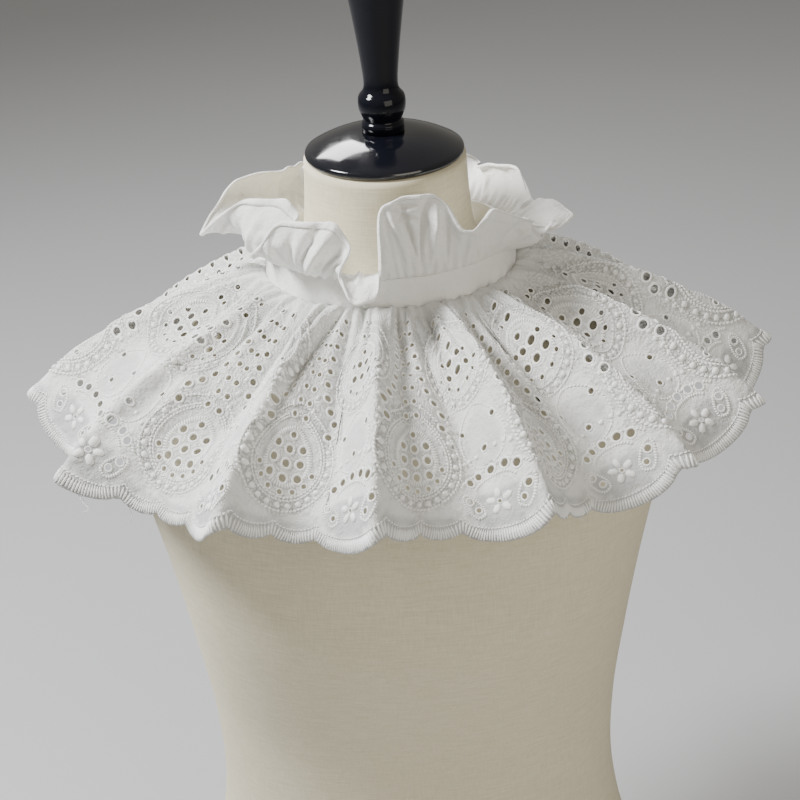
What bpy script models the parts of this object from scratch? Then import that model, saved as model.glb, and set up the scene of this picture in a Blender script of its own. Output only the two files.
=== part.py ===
# Detachable eyelet cape collar with a standing neck ruffle, on a limbless dress form.
# Metres, +Z up. The front faces -Y, and the origin is the middle of the form's base.
# Azimuths are degrees round the neck axis: 0 is the centre front, +90 the +X side.

import math
import bpy
import bmesh
import numpy as np
from mathutils import Vector
from mathutils.geometry import delaunay_2d_cdt

# Seams and walls
SEAM_GAP = 0.0003
CLOTH_WALL = 0.0011
BAND_WALL = 0.0016

# Neck band: a plain strip standing on the neck base, lapped at the centre back
BAND_HALF_WIDTH = 0.0820
BAND_HALF_DEPTH = 0.0770
BAND_BOTTOM_Z = 0.6150
BAND_HEIGHT = 0.0195
BAND_LEAN = 0.0020
BAND_STEPS = 60
LAP_ANGLE = 11.0
LAP_RISE = 0.0022
BACK_OPENING = 0.4

# Where the seams under the band's over end step out for it, in lap angles: start and length
SEAM_LAP_START = 1.3
SEAM_LAP_LENGTH = 0.75

# Button on the lap
BUTTON_DIAMETER = 0.0110
BUTTON_THICKNESS = 0.0024
BUTTON_SHANK = 0.0004
BUTTON_SIDES = 20

# Cape strip: flat width comes from its hem, depth from band seam to the deepest lobe
CAPE_DEPTH = 0.1870
SEAM_ROOM = 0.0019
SEAM_LIFT = 0.0022
CAPE_REPEATS = 15
HEM_LINE = 0.1750
GATHERS = 45
GATHER_HEIGHT = 0.0017
GATHER_END = 0.42
GATHER_FADE = 1.3
SIDE_SEAM_ANGLE = 90.0
TOP_STEPS = 180
FOLD_STEPS = 106
CAPE_ROWS = (0.09, 0.22, 0.38, 0.54, 0.70, 0.85)
TOP_ROWS = 2
HEM_MARGIN = 0.004

# Share of the depth at which the folded cloth's length round the cape is read
WIDTH_READ_AT = 0.88
WIDTH_STEPS = 1081

# Scallops of one repeat: start and end as shares of it, and drop below the hem line.
# LOBE_ROUND 1 would bring each to a cusp on that line. HEM_STOPS are the outline's points.
LOBES = (
    (0.25, 0.75, 0.0120),
    (0.75, 1.0, 0.0060),
    (0.0, 0.25, 0.0060),
)
LOBE_ROUND = 0.96
HEM_STOPS = (0.0, 0.04, 0.125, 0.21, 0.25, 0.30, 0.40, 0.50, 0.60, 0.70, 0.75, 0.79, 0.875, 0.96)

# How the cape falls, by azimuth: slope below level at the band and at the hem, in degrees,
# and the bend, the power with which one turns into the other down the cloth
FALL_COLUMNS = ("azimuth", "slope_at_band", "slope_at_hem", "bend")
FALL = (
    (-180.0, 34.0, 76.0, 1.2),
    (-135.0, 34.0, 70.0, 1.3),
    (-108.0, 30.0, 58.0, 1.6),
    (-88.0, 24.0, 50.0, 2.2),
    (-50.0, 18.0, 52.0, 2.0),
    (0.0, 12.0, 60.0, 2.0),
    (50.0, 17.0, 52.0, 2.0),
    (88.0, 22.0, 46.0, 2.2),
    (108.0, 28.0, 58.0, 1.6),
    (135.0, 34.0, 70.0, 1.3),
)
FALL_STEPS = 12

# Main folds of the cape: ridge azimuth and height at the hem
FOLD_COLUMNS = ("azimuth", "height")
FOLDS = (
    (-163.0, 0.0130),
    (-138.0, 0.0150),
    (-113.0, 0.0130),
    (-87.0, 0.0140),
    (-56.0, 0.0165),
    (-26.0, 0.0165),
    (-4.0, 0.0140),
    (20.0, 0.0160),
    (44.0, 0.0165),
    (66.0, 0.0135),
    (88.0, 0.0150),
    (113.0, 0.0130),
    (137.0, 0.0150),
    (161.0, 0.0130),
)
FOLD_OVERHANG = 0.45
FOLD_AT_BAND = 0.20
FOLD_START = 0.10
FOLD_GROWTH = 0.9

# Second folds, twice as many, tallest at mid depth: height, how fast they fade to the hem,
# how full their middle is, their phase in radians, and how far and how often it wanders
SECOND_FOLD = 0.0028
SECOND_REACH = 1.15
SECOND_FULLNESS = 0.8
SECOND_PHASE = 1.1
SECOND_WANDER = 0.9
SECOND_WANDER_RATE = 1.7

# Eyelets wider than 4 mm, flat. A medallion's are in rows of pitch by pitch, its middle
# column a little lower, and an arc's stand on a flattened arc over the large lobe.
# UPPER_SPOTS are the upper medallion's places in pitches: across and up.
EYELET_SIDES = 6
EYELET_ROOM = 0.0025
EYELET_INSET = 0.0003
EYELET_GRID_ROOM = 0.0022
MEDALLION_ABOVE_HEM = 0.046
MEDALLION_CROWN = 0.0018
UPPER_MEDALLION_ABOVE_HEM = 0.118
EYELET_PITCH = 0.0098
MEDALLION_EYELET = 0.0052
ARC_EYELET = 0.0054
ARC_RADIUS = 0.0200
ARC_FLATTEN = 0.55
ARC_ABOVE_HEM = 0.0240
ARC_ANGLES = (-56.0, -28.0, 0.0, 28.0, 56.0)
UPPER_SPOTS = ((-1.0, -1.0), (0.0, -1.0), (1.0, -1.0), (-0.5, 0.05), (0.5, 0.05))

# Neck ruffle: where each place of its strip goes at the free edge: how far round it swings
# in degrees, its reach from the neck axis, its height above the band, and how far out the
# cloth puffs between band and edge
RUFFLE_COLUMNS = ("azimuth", "swing", "reach", "rise", "puff")
RUFFLE_EDGE = (
    (-173.0, 0.0, 0.1190, 0.0120, 0.010),
    (-165.0, -1.0, 0.0930, 0.0290, 0.022),
    (-155.0, 1.0, 0.0920, 0.0300, 0.022),
    (-147.0, 0.0, 0.1190, 0.0120, 0.010),
    (-139.0, -3.0, 0.0925, 0.0262, 0.020),
    (-124.0, -4.0, 0.0895, 0.0275, 0.022),
    (-110.0, 4.0, 0.1060, 0.0325, 0.016),
    (-100.0, 4.0, 0.1112, 0.0262, 0.014),
    (-90.0, 4.5, 0.1266, 0.0085, 0.010),
    (-84.0, 3.5, 0.1068, 0.0302, 0.018),
    (-78.0, 2.0, 0.0942, 0.0400, 0.028),
    (-68.0, 8.0, 0.0742, 0.0442, 0.036),
    (-61.0, 11.5, 0.0735, 0.0345, 0.024),
    (-55.0, -1.0, 0.1115, 0.0126, 0.014),
    (-46.0, -1.5, 0.0955, 0.0405, 0.022),
    (-33.0, 10.0, 0.0870, 0.0432, 0.030),
    (-28.0, 13.0, 0.0930, 0.0290, 0.022),
    (-23.0, 4.5, 0.1070, 0.0160, 0.012),
    (-18.0, 3.6, 0.1190, 0.0052, 0.006),
    (-11.0, 0.0, 0.1210, 0.0020, 0.004),
    (-5.5, 0.7, 0.1160, 0.0042, 0.004),
    (-1.5, -1.9, 0.0980, 0.0194, 0.003),
    (2.0, -7.6, 0.0860, 0.0390, 0.002),
    (5.0, -8.7, 0.0795, 0.0502, 0.002),
    (12.0, -4.5, 0.0757, 0.0552, 0.003),
    (21.0, 2.5, 0.0757, 0.0540, 0.004),
    (25.0, 4.0, 0.0790, 0.0474, 0.004),
    (31.0, 0.6, 0.0917, 0.0313, 0.003),
    (37.0, -1.0, 0.0945, 0.0283, 0.003),
    (44.0, 6.0, 0.0867, 0.0380, 0.005),
    (56.0, 10.5, 0.1035, 0.0206, 0.014),
    (64.0, 9.0, 0.0890, 0.0170, 0.040),
    (71.0, 8.0, 0.1000, 0.0060, 0.030),
    (77.0, 4.0, 0.1125, 0.0042, 0.018),
    (85.0, 4.5, 0.1240, 0.0060, 0.010),
    (92.0, 6.0, 0.1112, 0.0100, 0.014),
    (98.0, 6.0, 0.0977, 0.0064, 0.020),
    (106.0, 9.0, 0.0995, 0.0243, 0.020),
    (116.0, 9.0, 0.0975, 0.0228, 0.022),
    (129.0, 8.0, 0.0930, 0.0180, 0.022),
    (141.0, 3.0, 0.1180, 0.0110, 0.012),
    (149.0, 3.0, 0.0930, 0.0290, 0.022),
    (160.0, 1.0, 0.0920, 0.0300, 0.022),
    (173.0, 0.0, 0.1180, 0.0120, 0.010),
)
RUFFLE_STEPS = 118
RUFFLE_CRISP = 0.55
RUFFLE_ROWS = (0.0, 0.16, 0.40, 0.70, 1.0)

# The ruffle's curve from band to edge: share of the way out and height of its middle, how
# much of the edge's own height that takes, how far it tucks in, the puff that lays it level,
# and its gather at the root, which is full where the flare is GATHER_FLARE
RUFFLE_STAND = 0.55
RUFFLE_STAND_RISE = 0.022
RUFFLE_STAND_SHARE = 0.35
RUFFLE_TUCK = 0.25
RUFFLE_LEVEL_PUFF = 0.042
RUFFLE_GATHER = 0.0014
GATHER_FLARE = 0.05

# Dress form, level sections up from its base: half width, depth in front of the neck
# axis, depth behind it, and squareness (2 is an ellipse)
FORM = (
    (0.000, 0.160, 0.102, 0.114, 2.3),
    (0.012, 0.165, 0.107, 0.119, 2.3),
    (0.055, 0.171, 0.112, 0.126, 2.3),
    (0.105, 0.166, 0.110, 0.120, 2.3),
    (0.165, 0.152, 0.103, 0.100, 2.3),
    (0.220, 0.1455, 0.098, 0.088, 2.3),
    (0.280, 0.148, 0.104, 0.088, 2.3),
    (0.340, 0.156, 0.122, 0.097, 2.3),
    (0.385, 0.163, 0.135, 0.106, 2.3),
    (0.425, 0.171, 0.137, 0.112, 2.3),
    (0.462, 0.179, 0.131, 0.117, 2.4),
    (0.497, 0.184, 0.120, 0.120, 2.5),
    (0.523, 0.181, 0.109, 0.118, 2.5),
    (0.545, 0.165, 0.101, 0.113, 2.4),
    (0.566, 0.140, 0.094, 0.106, 2.2),
    (0.586, 0.113, 0.087, 0.098, 2.1),
    (0.602, 0.095, 0.082, 0.087, 2.0),
    (0.6147, 0.0820, 0.0770, 0.0770, 2.0),
    (0.624, 0.066, 0.064, 0.064, 2.0),
    (0.638, 0.0575, 0.0570, 0.0575, 2.0),
    (0.660, 0.0545, 0.0545, 0.0545, 2.0),
    (0.6900, 0.0530, 0.0530, 0.0530, 2.0),
)
FORM_STEPS = 36
NECK_TOP_Z = 0.6900

# Cap and finial, turned: radius and height above the neck top
CAP_RADIUS = 0.0520
CAP_EDGE = 0.0032
CAP_RISE = 0.0165
CAP_STEPS = 36
CAP_EDGE_TURN = 130.0
CAP_EDGE_STEPS = 5
CAP_DOME_STOPS = (0.75, 0.5, 0.28)
CAP_SEAT_MARGIN = 0.001
FINIAL_STEPS = 20
FINIAL_FOOT_RADIUS = 0.0138
FINIAL_PROFILE = (
    (0.0138, 0.0000),
    (0.0138, 0.0055),
    (0.0122, 0.0075),
    (0.0152, 0.0150),
    (0.0150, 0.0230),
    (0.0112, 0.0300),
    (0.0125, 0.0480),
    (0.0160, 0.0750),
    (0.0195, 0.0980),
    (0.0205, 0.1120),
    (0.0170, 0.1230),
    (0.0090, 0.1290),
    (0.0000, 0.1305),
)


def clear_scene():
    for obj in list(bpy.data.objects):
        bpy.data.objects.remove(obj, do_unlink=True)


def new_collection(name):
    collection = bpy.data.collections.new(name)
    bpy.context.scene.collection.children.link(collection)
    return collection


def new_material(name, colour, roughness, metallic=0.0):
    material = bpy.data.materials.new(name)
    material.use_nodes = True
    shader = material.node_tree.nodes["Principled BSDF"]
    shader.inputs["Base Color"].default_value = (*colour, 1.0)
    shader.inputs["Roughness"].default_value = roughness
    shader.inputs["Metallic"].default_value = metallic
    return material


def mesh_object(name, points, faces, material, collection):
    mesh = bpy.data.meshes.new(name)
    mesh.from_pydata([tuple(point) for point in points], [], faces)
    mesh.materials.append(material)
    mesh.shade_smooth()
    obj = bpy.data.objects.new(name, mesh)
    collection.objects.link(obj)
    return obj


def faces_out(obj):
    shell = bmesh.new()
    shell.from_mesh(obj.data)
    bmesh.ops.recalc_face_normals(shell, faces=shell.faces)
    shell.to_mesh(obj.data)
    shell.free()


def add_wall(obj, thickness, offset=0.0):
    wall = obj.modifiers.new("wall", "SOLIDIFY")
    wall.thickness = thickness
    wall.offset = offset
    wall.use_even_offset = False
    wall.use_rim = True


def column(table, names, name):
    return np.array([row[names.index(name)] for row in table], float)


def ring_span(table, names, azimuth):
    """The row before an azimuth, the share of the way to the next row, and their distance.

    Rows count on all the way round, so the first row's own number is 0 and those before it
    are negative.
    """
    at = column(table, names, "azimuth")
    ring = np.concatenate([at - 360.0, at, at + 360.0])
    index = int(np.searchsorted(ring, azimuth, side="right")) - 1
    width = ring[index + 1] - ring[index]
    return index - len(table), (azimuth - ring[index]) / width, width


def round_table(table, names, name, azimuth, crisp=0.0):
    """The table's value at an azimuth all the way round.

    crisp is 0 where the value is soft at each row and 1 where it has a corner there.
    """
    values = column(table, names, name)
    index, share, _ = ring_span(table, names, azimuth)
    ease = (1.0 - math.cos(math.pi * share)) / 2.0 * (1.0 - crisp) + share * crisp
    return values[index % len(table)] * (1.0 - ease) + values[(index + 1) % len(table)] * ease


def eased_rise(share):
    """The lap's step from 0 to its full height, soft at both ends."""
    share = min(1.0, max(0.0, share))
    return LAP_RISE * share * share * (3.0 - 2.0 * share)


# Band path

def lap_offset(azimuth):
    """How far the over end of the band stands outside its under end."""
    return eased_rise((azimuth - 180.0 + 2.0 * LAP_ANGLE) / LAP_ANGLE)


def seam_offset(azimuth):
    """The same for what is sewn to the band, which also passes under the over end's tip."""
    if azimuth > 0.0:
        return lap_offset(azimuth)
    start = 180.0 - LAP_ANGLE * SEAM_LAP_START
    return eased_rise((-azimuth - start) / (LAP_ANGLE * SEAM_LAP_LENGTH))


def neck_ring(azimuth, out=0.0):
    angle = math.radians(azimuth)
    x = BAND_HALF_WIDTH * math.sin(angle)
    y = -BAND_HALF_DEPTH * math.cos(angle)
    normal = Vector((x / BAND_HALF_WIDTH ** 2, y / BAND_HALF_DEPTH ** 2, 0.0)).normalized()
    return Vector((x, y, 0.0)) + normal * out


def outward(azimuth):
    return (neck_ring(azimuth, 1.0) - neck_ring(azimuth, 0.0)).normalized()


def around(azimuth):
    way = outward(azimuth)
    return Vector((-way.y, way.x, 0.0))


# Cape form

def fold_phase(azimuth):
    """Turns of main folds passed at an azimuth, and the height of the fold there."""
    heights = column(FOLDS, FOLD_COLUMNS, "height")
    index, share, _ = ring_span(FOLDS, FOLD_COLUMNS, azimuth)
    here = heights[index % len(FOLDS)]
    after = heights[(index + 1) % len(FOLDS)]
    return index + share, here * (1.0 - share) + after * share


def fall_point(azimuth, depth):
    """Reach and drop from the seam, and slope, of the unfolded cape at a depth of 0 to 1."""
    first = math.radians(round_table(FALL, FALL_COLUMNS, "slope_at_band", azimuth))
    last = math.radians(round_table(FALL, FALL_COLUMNS, "slope_at_hem", azimuth))
    bend = round_table(FALL, FALL_COLUMNS, "bend", azimuth)
    length = depth * CAPE_DEPTH / FALL_STEPS
    reach = 0.0
    drop = 0.0
    for step in range(FALL_STEPS):
        at = depth * (step + 0.5) / FALL_STEPS
        slope = first + (last - first) * at ** bend
        reach += math.cos(slope) * length
        drop += math.sin(slope) * length
    return reach, drop, first + (last - first) * depth ** bend


def cape_point(azimuth, depth):
    """A point in the middle of the cape's wall, depth from 0 at the seam to 1."""
    reach, drop, slope = fall_point(azimuth, depth)
    turns, height = fold_phase(azimuth)
    phase = 2.0 * math.pi * turns
    at_band = FOLD_AT_BAND * min(1.0, depth / FOLD_START)
    main = height * (at_band + (1.0 - FOLD_AT_BAND) * depth ** FOLD_GROWTH)
    second = SECOND_FOLD * math.sin(math.pi * min(1.0, depth * SECOND_REACH)) ** SECOND_FULLNESS
    second_phase = 2.0 * phase + SECOND_PHASE
    second_phase += SECOND_WANDER * math.sin(SECOND_WANDER_RATE * turns)
    gather = GATHER_HEIGHT * max(0.0, 1.0 - depth / GATHER_END) ** GATHER_FADE
    lift = main * math.cos(phase) + second * math.cos(second_phase)
    lift += gather * math.cos(math.radians(azimuth) * GATHERS)
    swing = -FOLD_OVERHANG * main * math.sin(phase)
    out_way = outward(azimuth)
    normal = out_way * math.sin(slope) + Vector((0.0, 0.0, math.cos(slope)))
    seam = neck_ring(azimuth, BAND_WALL + SEAM_ROOM + seam_offset(azimuth))
    seam.z = BAND_BOTTOM_Z + SEAM_LIFT + GATHER_HEIGHT
    point = seam + out_way * reach - Vector((0.0, 0.0, drop))
    return point + normal * lift + around(azimuth) * swing


def hem_lengths():
    """Azimuths round the opening and the cloth length passed at each, along the hem."""
    azimuths = np.linspace(-180.0 + BACK_OPENING, 180.0 - BACK_OPENING, WIDTH_STEPS)
    points = [cape_point(float(azimuth), WIDTH_READ_AT) for azimuth in azimuths]
    steps = [(b - a).length for a, b in zip(points, points[1:])]
    return azimuths, np.concatenate([[0.0], np.cumsum(steps)])


# Flat pattern of the cape: across is the length along the hem, down is the depth

def lobe_depth(share):
    """Depth of the scalloped hem at a share of the repeat: a large lobe, then two small."""
    share = share % 1.0
    for start, end, drop in LOBES:
        if start <= share <= end:
            across = 2.0 * (share - start) / (end - start) - 1.0
            return HEM_LINE + drop * math.sqrt(1.0 - across * across * LOBE_ROUND)
    return HEM_LINE


def medallion_eyelets():
    """Rows of across, above the hem line and diameter, from the medallion's middle."""
    rows = []
    for row in (-1, 0, 1):
        for side in (-1, 0, 1):
            lower = MEDALLION_CROWN if side == 0 else 0.0
            above = MEDALLION_ABOVE_HEM + row * EYELET_PITCH - lower
            rows.append((side * EYELET_PITCH, above, MEDALLION_EYELET))
    return rows


def arc_eyelets():
    """The same for the arc over the large lobe, from the lobe's middle."""
    rows = []
    for angle in ARC_ANGLES:
        turn = math.radians(angle)
        above = ARC_ABOVE_HEM + ARC_RADIUS * ARC_FLATTEN * math.cos(turn)
        rows.append((ARC_RADIUS * math.sin(turn), above, ARC_EYELET))
    return rows


def upper_eyelets():
    """The same for the upper medallion, which stands over the large lobe."""
    rows = []
    for side, row in UPPER_SPOTS:
        above = UPPER_MEDALLION_ABOVE_HEM + row * EYELET_PITCH
        rows.append((side * EYELET_PITCH, above, MEDALLION_EYELET))
    return rows


def cut_eyelets(width, start, end):
    """Middle (across, down) and radius of each eyelet cut between start and end, flat."""
    repeat = width / CAPE_REPEATS
    placed = []
    for index in range(CAPE_REPEATS):
        placed += [((index + 0.5) * repeat, row) for row in medallion_eyelets()]
        if index < CAPE_REPEATS - 1:
            over_lobe = arc_eyelets() + upper_eyelets()
            placed += [((index + 1.0) * repeat, row) for row in over_lobe]
    holes = []
    for middle, (side, above, diameter) in placed:
        across = middle + side
        radius = diameter / 2.0
        if start + radius + EYELET_ROOM < across < end - radius - EYELET_ROOM:
            holes.append((across, HEM_LINE - above, radius))
    return holes


def eyelet_loop(across, down, radius):
    turns = [2.0 * math.pi * (step + 0.5) / EYELET_SIDES for step in range(EYELET_SIDES)]
    return [(across + radius * math.cos(turn), down + radius * math.sin(turn)) for turn in turns]


def near_eyelet(across, down, holes, room):
    return any((across - x) ** 2 + (down - y) ** 2 < (radius + room) ** 2 for x, y, radius in holes)


def hem_outline(start, end, repeat):
    """The scalloped hem of one cape piece, flat, from start to end."""
    stops = [(index + share) * repeat for index in range(CAPE_REPEATS + 1) for share in HEM_STOPS]
    inner = [stop for stop in stops if start + HEM_MARGIN < stop < end - HEM_MARGIN]
    return [(across, lobe_depth(across / repeat + 0.5)) for across in [start] + inner + [end]]


def piece_outline(start, end, top_across, hem):
    """The piece's edge all round, flat: band seam, one end, hem, other end."""
    side_rows = [row * CAPE_DEPTH for row in CAPE_ROWS]
    outline = [(float(across), 0.0) for across in top_across]
    outline += [(float(end), row) for row in side_rows if row < hem[-1][1] - HEM_MARGIN]
    outline += list(reversed(hem))
    outline += [
        (float(start), row) for row in reversed(side_rows) if row < hem[0][1] - HEM_MARGIN
    ]
    return outline


def grid_points(first, last, top_count, fold_count, azimuths, lengths, holes):
    """Points inside the piece, flat, in rows down the depth and clear of hem and eyelets."""
    repeat = lengths[-1] / CAPE_REPEATS
    inner = []
    for number, row in enumerate(CAPE_ROWS):
        down = row * CAPE_DEPTH
        count = top_count if number < TOP_ROWS else fold_count
        for azimuth in np.linspace(first, last, count + 1)[1:-1]:
            across = float(np.interp(azimuth, azimuths, lengths))
            in_cloth = down <= lobe_depth(across / repeat + 0.5) - HEM_MARGIN
            if in_cloth and not near_eyelet(across, down, holes, EYELET_GRID_ROOM):
                inner.append((across, down))
    return inner


def cape_piece(name, first, last, material, collection):
    """The cape between two azimuths: cut flat with its scallops and eyelets, then draped."""
    azimuths, lengths = hem_lengths()
    width = lengths[-1]
    start, end = np.interp((first, last), azimuths, lengths)
    share_of_ring = (last - first) / 360.0
    top_count = round(TOP_STEPS * share_of_ring)
    fold_count = round(FOLD_STEPS * share_of_ring)
    top_across = np.interp(np.linspace(first, last, top_count + 1), azimuths, lengths)
    hem = hem_outline(start, end, width / CAPE_REPEATS)
    holes = cut_eyelets(width, start, end)

    flat = []
    edges = []
    loops = [piece_outline(start, end, top_across, hem)]
    loops += [eyelet_loop(*hole) for hole in holes]
    for loop in loops:
        base = len(flat)
        count = len(loop)
        flat += loop
        edges += [(base + step, base + (step + 1) % count) for step in range(count)]
    flat += grid_points(first, last, top_count, fold_count, azimuths, lengths, holes)

    points, _, faces, _, _, _ = delaunay_2d_cdt([Vector(p) for p in flat], edges, [], 1, 1e-7, False)
    hem_across, hem_down = zip(*hem)
    kept = []
    for face in faces:
        middle = sum((points[corner] for corner in face), Vector((0.0, 0.0))) / len(face)
        below_hem = middle.y > np.interp(middle.x, hem_across, hem_down)
        if not below_hem and not near_eyelet(middle.x, middle.y, holes, -EYELET_INSET):
            kept.append(tuple(reversed(face)))
    worn = []
    for point in points:
        azimuth = float(np.interp(point.x, lengths, azimuths))
        worn.append(cape_point(azimuth, point.y / CAPE_DEPTH))
    piece = mesh_object(name, worn, kept, material, collection)
    faces_out(piece)
    add_wall(piece, CLOTH_WALL)
    return piece


# Ruffle

def ruffle_point(azimuth, up):
    """A point of the ruffle, up from 0 at the band to 1 at the free edge."""
    swing, reach, rise, puff = [
        round_table(RUFFLE_EDGE, RUFFLE_COLUMNS, name, azimuth, RUFFLE_CRISP) for name in RUFFLE_COLUMNS[1:]
    ]
    flare = reach - BAND_HALF_WIDTH
    gather = RUFFLE_GATHER * flare / GATHER_FLARE
    root = neck_ring(azimuth, BAND_WALL / 2.0 + gather - BAND_LEAN)
    root.z = BAND_BOTTOM_Z + BAND_HEIGHT + 2.0 * SEAM_GAP
    edge = outward(azimuth + swing) * reach
    edge.z = BAND_BOTTOM_Z + BAND_HEIGHT + rise
    bend = root * (1.0 - RUFFLE_STAND) + edge * RUFFLE_STAND
    standing = RUFFLE_STAND_RISE + RUFFLE_STAND_SHARE * (edge.z - root.z)
    bend.z = root.z + standing * (1.0 - puff / RUFFLE_LEVEL_PUFF)
    bend += outward(azimuth) * (puff - flare * RUFFLE_TUCK)
    return root * (1.0 - up) ** 2 + bend * 2.0 * up * (1.0 - up) + edge * up * up


def neck_ruffle(material, collection):
    azimuths = np.linspace(-180.0 + BACK_OPENING, 180.0 - BACK_OPENING, RUFFLE_STEPS + 1)
    points = []
    for azimuth in azimuths:
        points += [ruffle_point(float(azimuth), up) for up in RUFFLE_ROWS]
    rows = len(RUFFLE_ROWS)
    faces = []
    for step in range(RUFFLE_STEPS):
        for row in range(rows - 1):
            corner = step * rows + row
            faces.append((corner, corner + rows, corner + rows + 1, corner + 1))
    piece = mesh_object("neck_ruffle", points, faces, material, collection)
    add_wall(piece, CLOTH_WALL)
    return piece


# Band and button

def neck_band(material, collection):
    """A flat strip swept round the neck base, with its over end lapped at the back."""
    first = -180.0 - LAP_ANGLE / 2.0
    last = 180.0 + LAP_ANGLE / 2.0
    azimuths = np.linspace(first, last, BAND_STEPS + 1)
    points = []
    for azimuth in azimuths:
        rise = lap_offset(float(azimuth))
        for height, lean in ((0.0, 0.0), (BAND_HEIGHT, -BAND_LEAN)):
            for out in (0.0, BAND_WALL):
                point = neck_ring(float(azimuth), out + rise + lean)
                point.z = BAND_BOTTOM_Z + height
                points.append(point)
    faces = [(0, 1, 3, 2)]
    for step in range(BAND_STEPS):
        corner = step * 4
        for a, b in ((0, 1), (1, 3), (3, 2), (2, 0)):
            faces.append((corner + a, corner + 4 + a, corner + 4 + b, corner + b))
    end = BAND_STEPS * 4
    faces.append((end, end + 2, end + 3, end + 1))
    piece = mesh_object("neck_band", points, faces, material, collection)
    faces_out(piece)
    return piece


def band_button(material, collection):
    """A small turned disc on the lap at the centre back."""
    bpy.ops.mesh.primitive_cylinder_add(
        vertices=BUTTON_SIDES, radius=BUTTON_DIAMETER / 2.0, depth=BUTTON_THICKNESS
    )
    button = bpy.context.object
    button.name = "band_button"
    button.data.name = "band_button"
    outside = BAND_WALL + LAP_RISE - BAND_LEAN / 2.0
    seat = neck_ring(180.0, outside)
    lean = math.atan2(BAND_LEAN, BAND_HEIGHT)
    button.rotation_euler = (math.radians(90.0) + lean, 0.0, 0.0)
    reach = seat.y + SEAM_GAP + BUTTON_SHANK + BUTTON_THICKNESS / 2.0
    button.location = (0.0, reach, BAND_BOTTOM_Z + BAND_HEIGHT / 2.0)
    button.data.materials.append(material)
    for other in list(button.users_collection):
        other.objects.unlink(button)
    collection.objects.link(button)
    return button


# Dress form

def section_point(section, azimuth):
    z, half_width, front, back, squareness = section
    angle = math.radians(azimuth)
    sine = math.sin(angle)
    cosine = math.cos(angle)
    depth = front if cosine > 0.0 else back
    scale = (abs(sine) ** squareness + abs(cosine) ** squareness) ** (-1.0 / squareness)
    return (half_width * sine * scale, -depth * cosine * scale, z)


def dress_form(material, collection):
    points = []
    for section in FORM:
        for step in range(FORM_STEPS):
            points.append(section_point(section, 360.0 * step / FORM_STEPS))
    faces = [tuple(reversed(range(FORM_STEPS)))]
    for row in range(len(FORM) - 1):
        for step in range(FORM_STEPS):
            corner = row * FORM_STEPS + step
            beside = row * FORM_STEPS + (step + 1) % FORM_STEPS
            faces.append((corner, beside, beside + FORM_STEPS, corner + FORM_STEPS))
    top = (len(FORM) - 1) * FORM_STEPS
    faces.append(tuple(range(top, top + FORM_STEPS)))
    piece = mesh_object("dress_form", points, faces, material, collection)
    faces_out(piece)
    return piece


# Cap and finial

def turned(name, profile, steps, material, collection):
    """A solid of revolution: the profile runs down its outer side from the axis."""
    points = [(radius, 0.0, height) for radius, height in reversed(profile)]
    mesh = bpy.data.meshes.new(name)
    mesh.from_pydata(points, [(step, step + 1) for step in range(len(points) - 1)], [])
    mesh.materials.append(material)
    obj = bpy.data.objects.new(name, mesh)
    collection.objects.link(obj)
    screw = obj.modifiers.new("turn", "SCREW")
    screw.steps = steps
    screw.render_steps = steps
    screw.use_merge_vertices = True
    screw.merge_threshold = 0.00005
    screw.use_smooth_shade = True
    return obj


def cap_profile():
    """The underside, the rounded rim, then the low dome as one arc to the finial's seat."""
    profile = [(0.0, 0.0), (CAP_RADIUS - CAP_EDGE, 0.0)]
    for step in range(1, CAP_EDGE_STEPS + 1):
        turn = math.radians(CAP_EDGE_TURN * step / CAP_EDGE_STEPS)
        radius = CAP_RADIUS - CAP_EDGE + CAP_EDGE * math.sin(turn)
        profile.append((radius, CAP_EDGE - CAP_EDGE * math.cos(turn)))
    rim_radius, rim_height = profile[-1]
    for share in CAP_DOME_STOPS:
        radius = FINIAL_FOOT_RADIUS + (rim_radius - FINIAL_FOOT_RADIUS) * share
        profile.append((radius, rim_height + (CAP_RISE - rim_height) * (1.0 - share ** 2)))
    profile.append((FINIAL_FOOT_RADIUS + CAP_SEAT_MARGIN, CAP_RISE))
    profile.append((0.0, CAP_RISE))
    return profile


def neck_cap(material, collection):
    cap = turned("neck_cap", cap_profile(), CAP_STEPS, material, collection)
    cap.location.z = NECK_TOP_Z + SEAM_GAP
    return cap


def neck_finial(material, collection):
    profile = [(0.0, 0.0)] + list(FINIAL_PROFILE)
    finial = turned("neck_finial", profile, FINIAL_STEPS, material, collection)
    finial.location.z = NECK_TOP_Z + CAP_RISE + 2.0 * SEAM_GAP
    return finial


def main():
    clear_scene()
    parts = new_collection("ruffled_cape_collar_on_form")
    cotton = new_material("white_cotton", (0.86, 0.86, 0.83), 0.85)
    eyelet = new_material("eyelet_cotton", (0.88, 0.88, 0.86), 0.8)
    linen = new_material("cream_linen", (0.76, 0.71, 0.58), 0.9)
    gloss = new_material("gloss_black", (0.01, 0.01, 0.012), 0.12)
    shell = new_material("button_white", (0.8, 0.8, 0.78), 0.3)

    dress_form(linen, parts)
    neck_cap(gloss, parts)
    neck_finial(gloss, parts)
    neck_band(cotton, parts)
    band_button(shell, parts)
    neck_ruffle(cotton, parts)

    half_gap = math.degrees(SEAM_GAP / 2.0 / BAND_HALF_DEPTH)
    side = SIDE_SEAM_ANGLE
    back = 180.0 - BACK_OPENING
    cape_piece("cape_front", -side + half_gap, side - half_gap, eyelet, parts)
    cape_piece("cape_back_left", -back, -side - half_gap, eyelet, parts)
    cape_piece("cape_back_right", side + half_gap, back, eyelet, parts)


main()
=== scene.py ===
import math
import bmesh
import bpy
import numpy as np
from mathutils import Matrix, Vector
from mathutils.geometry import delaunay_2d_cdt


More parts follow.
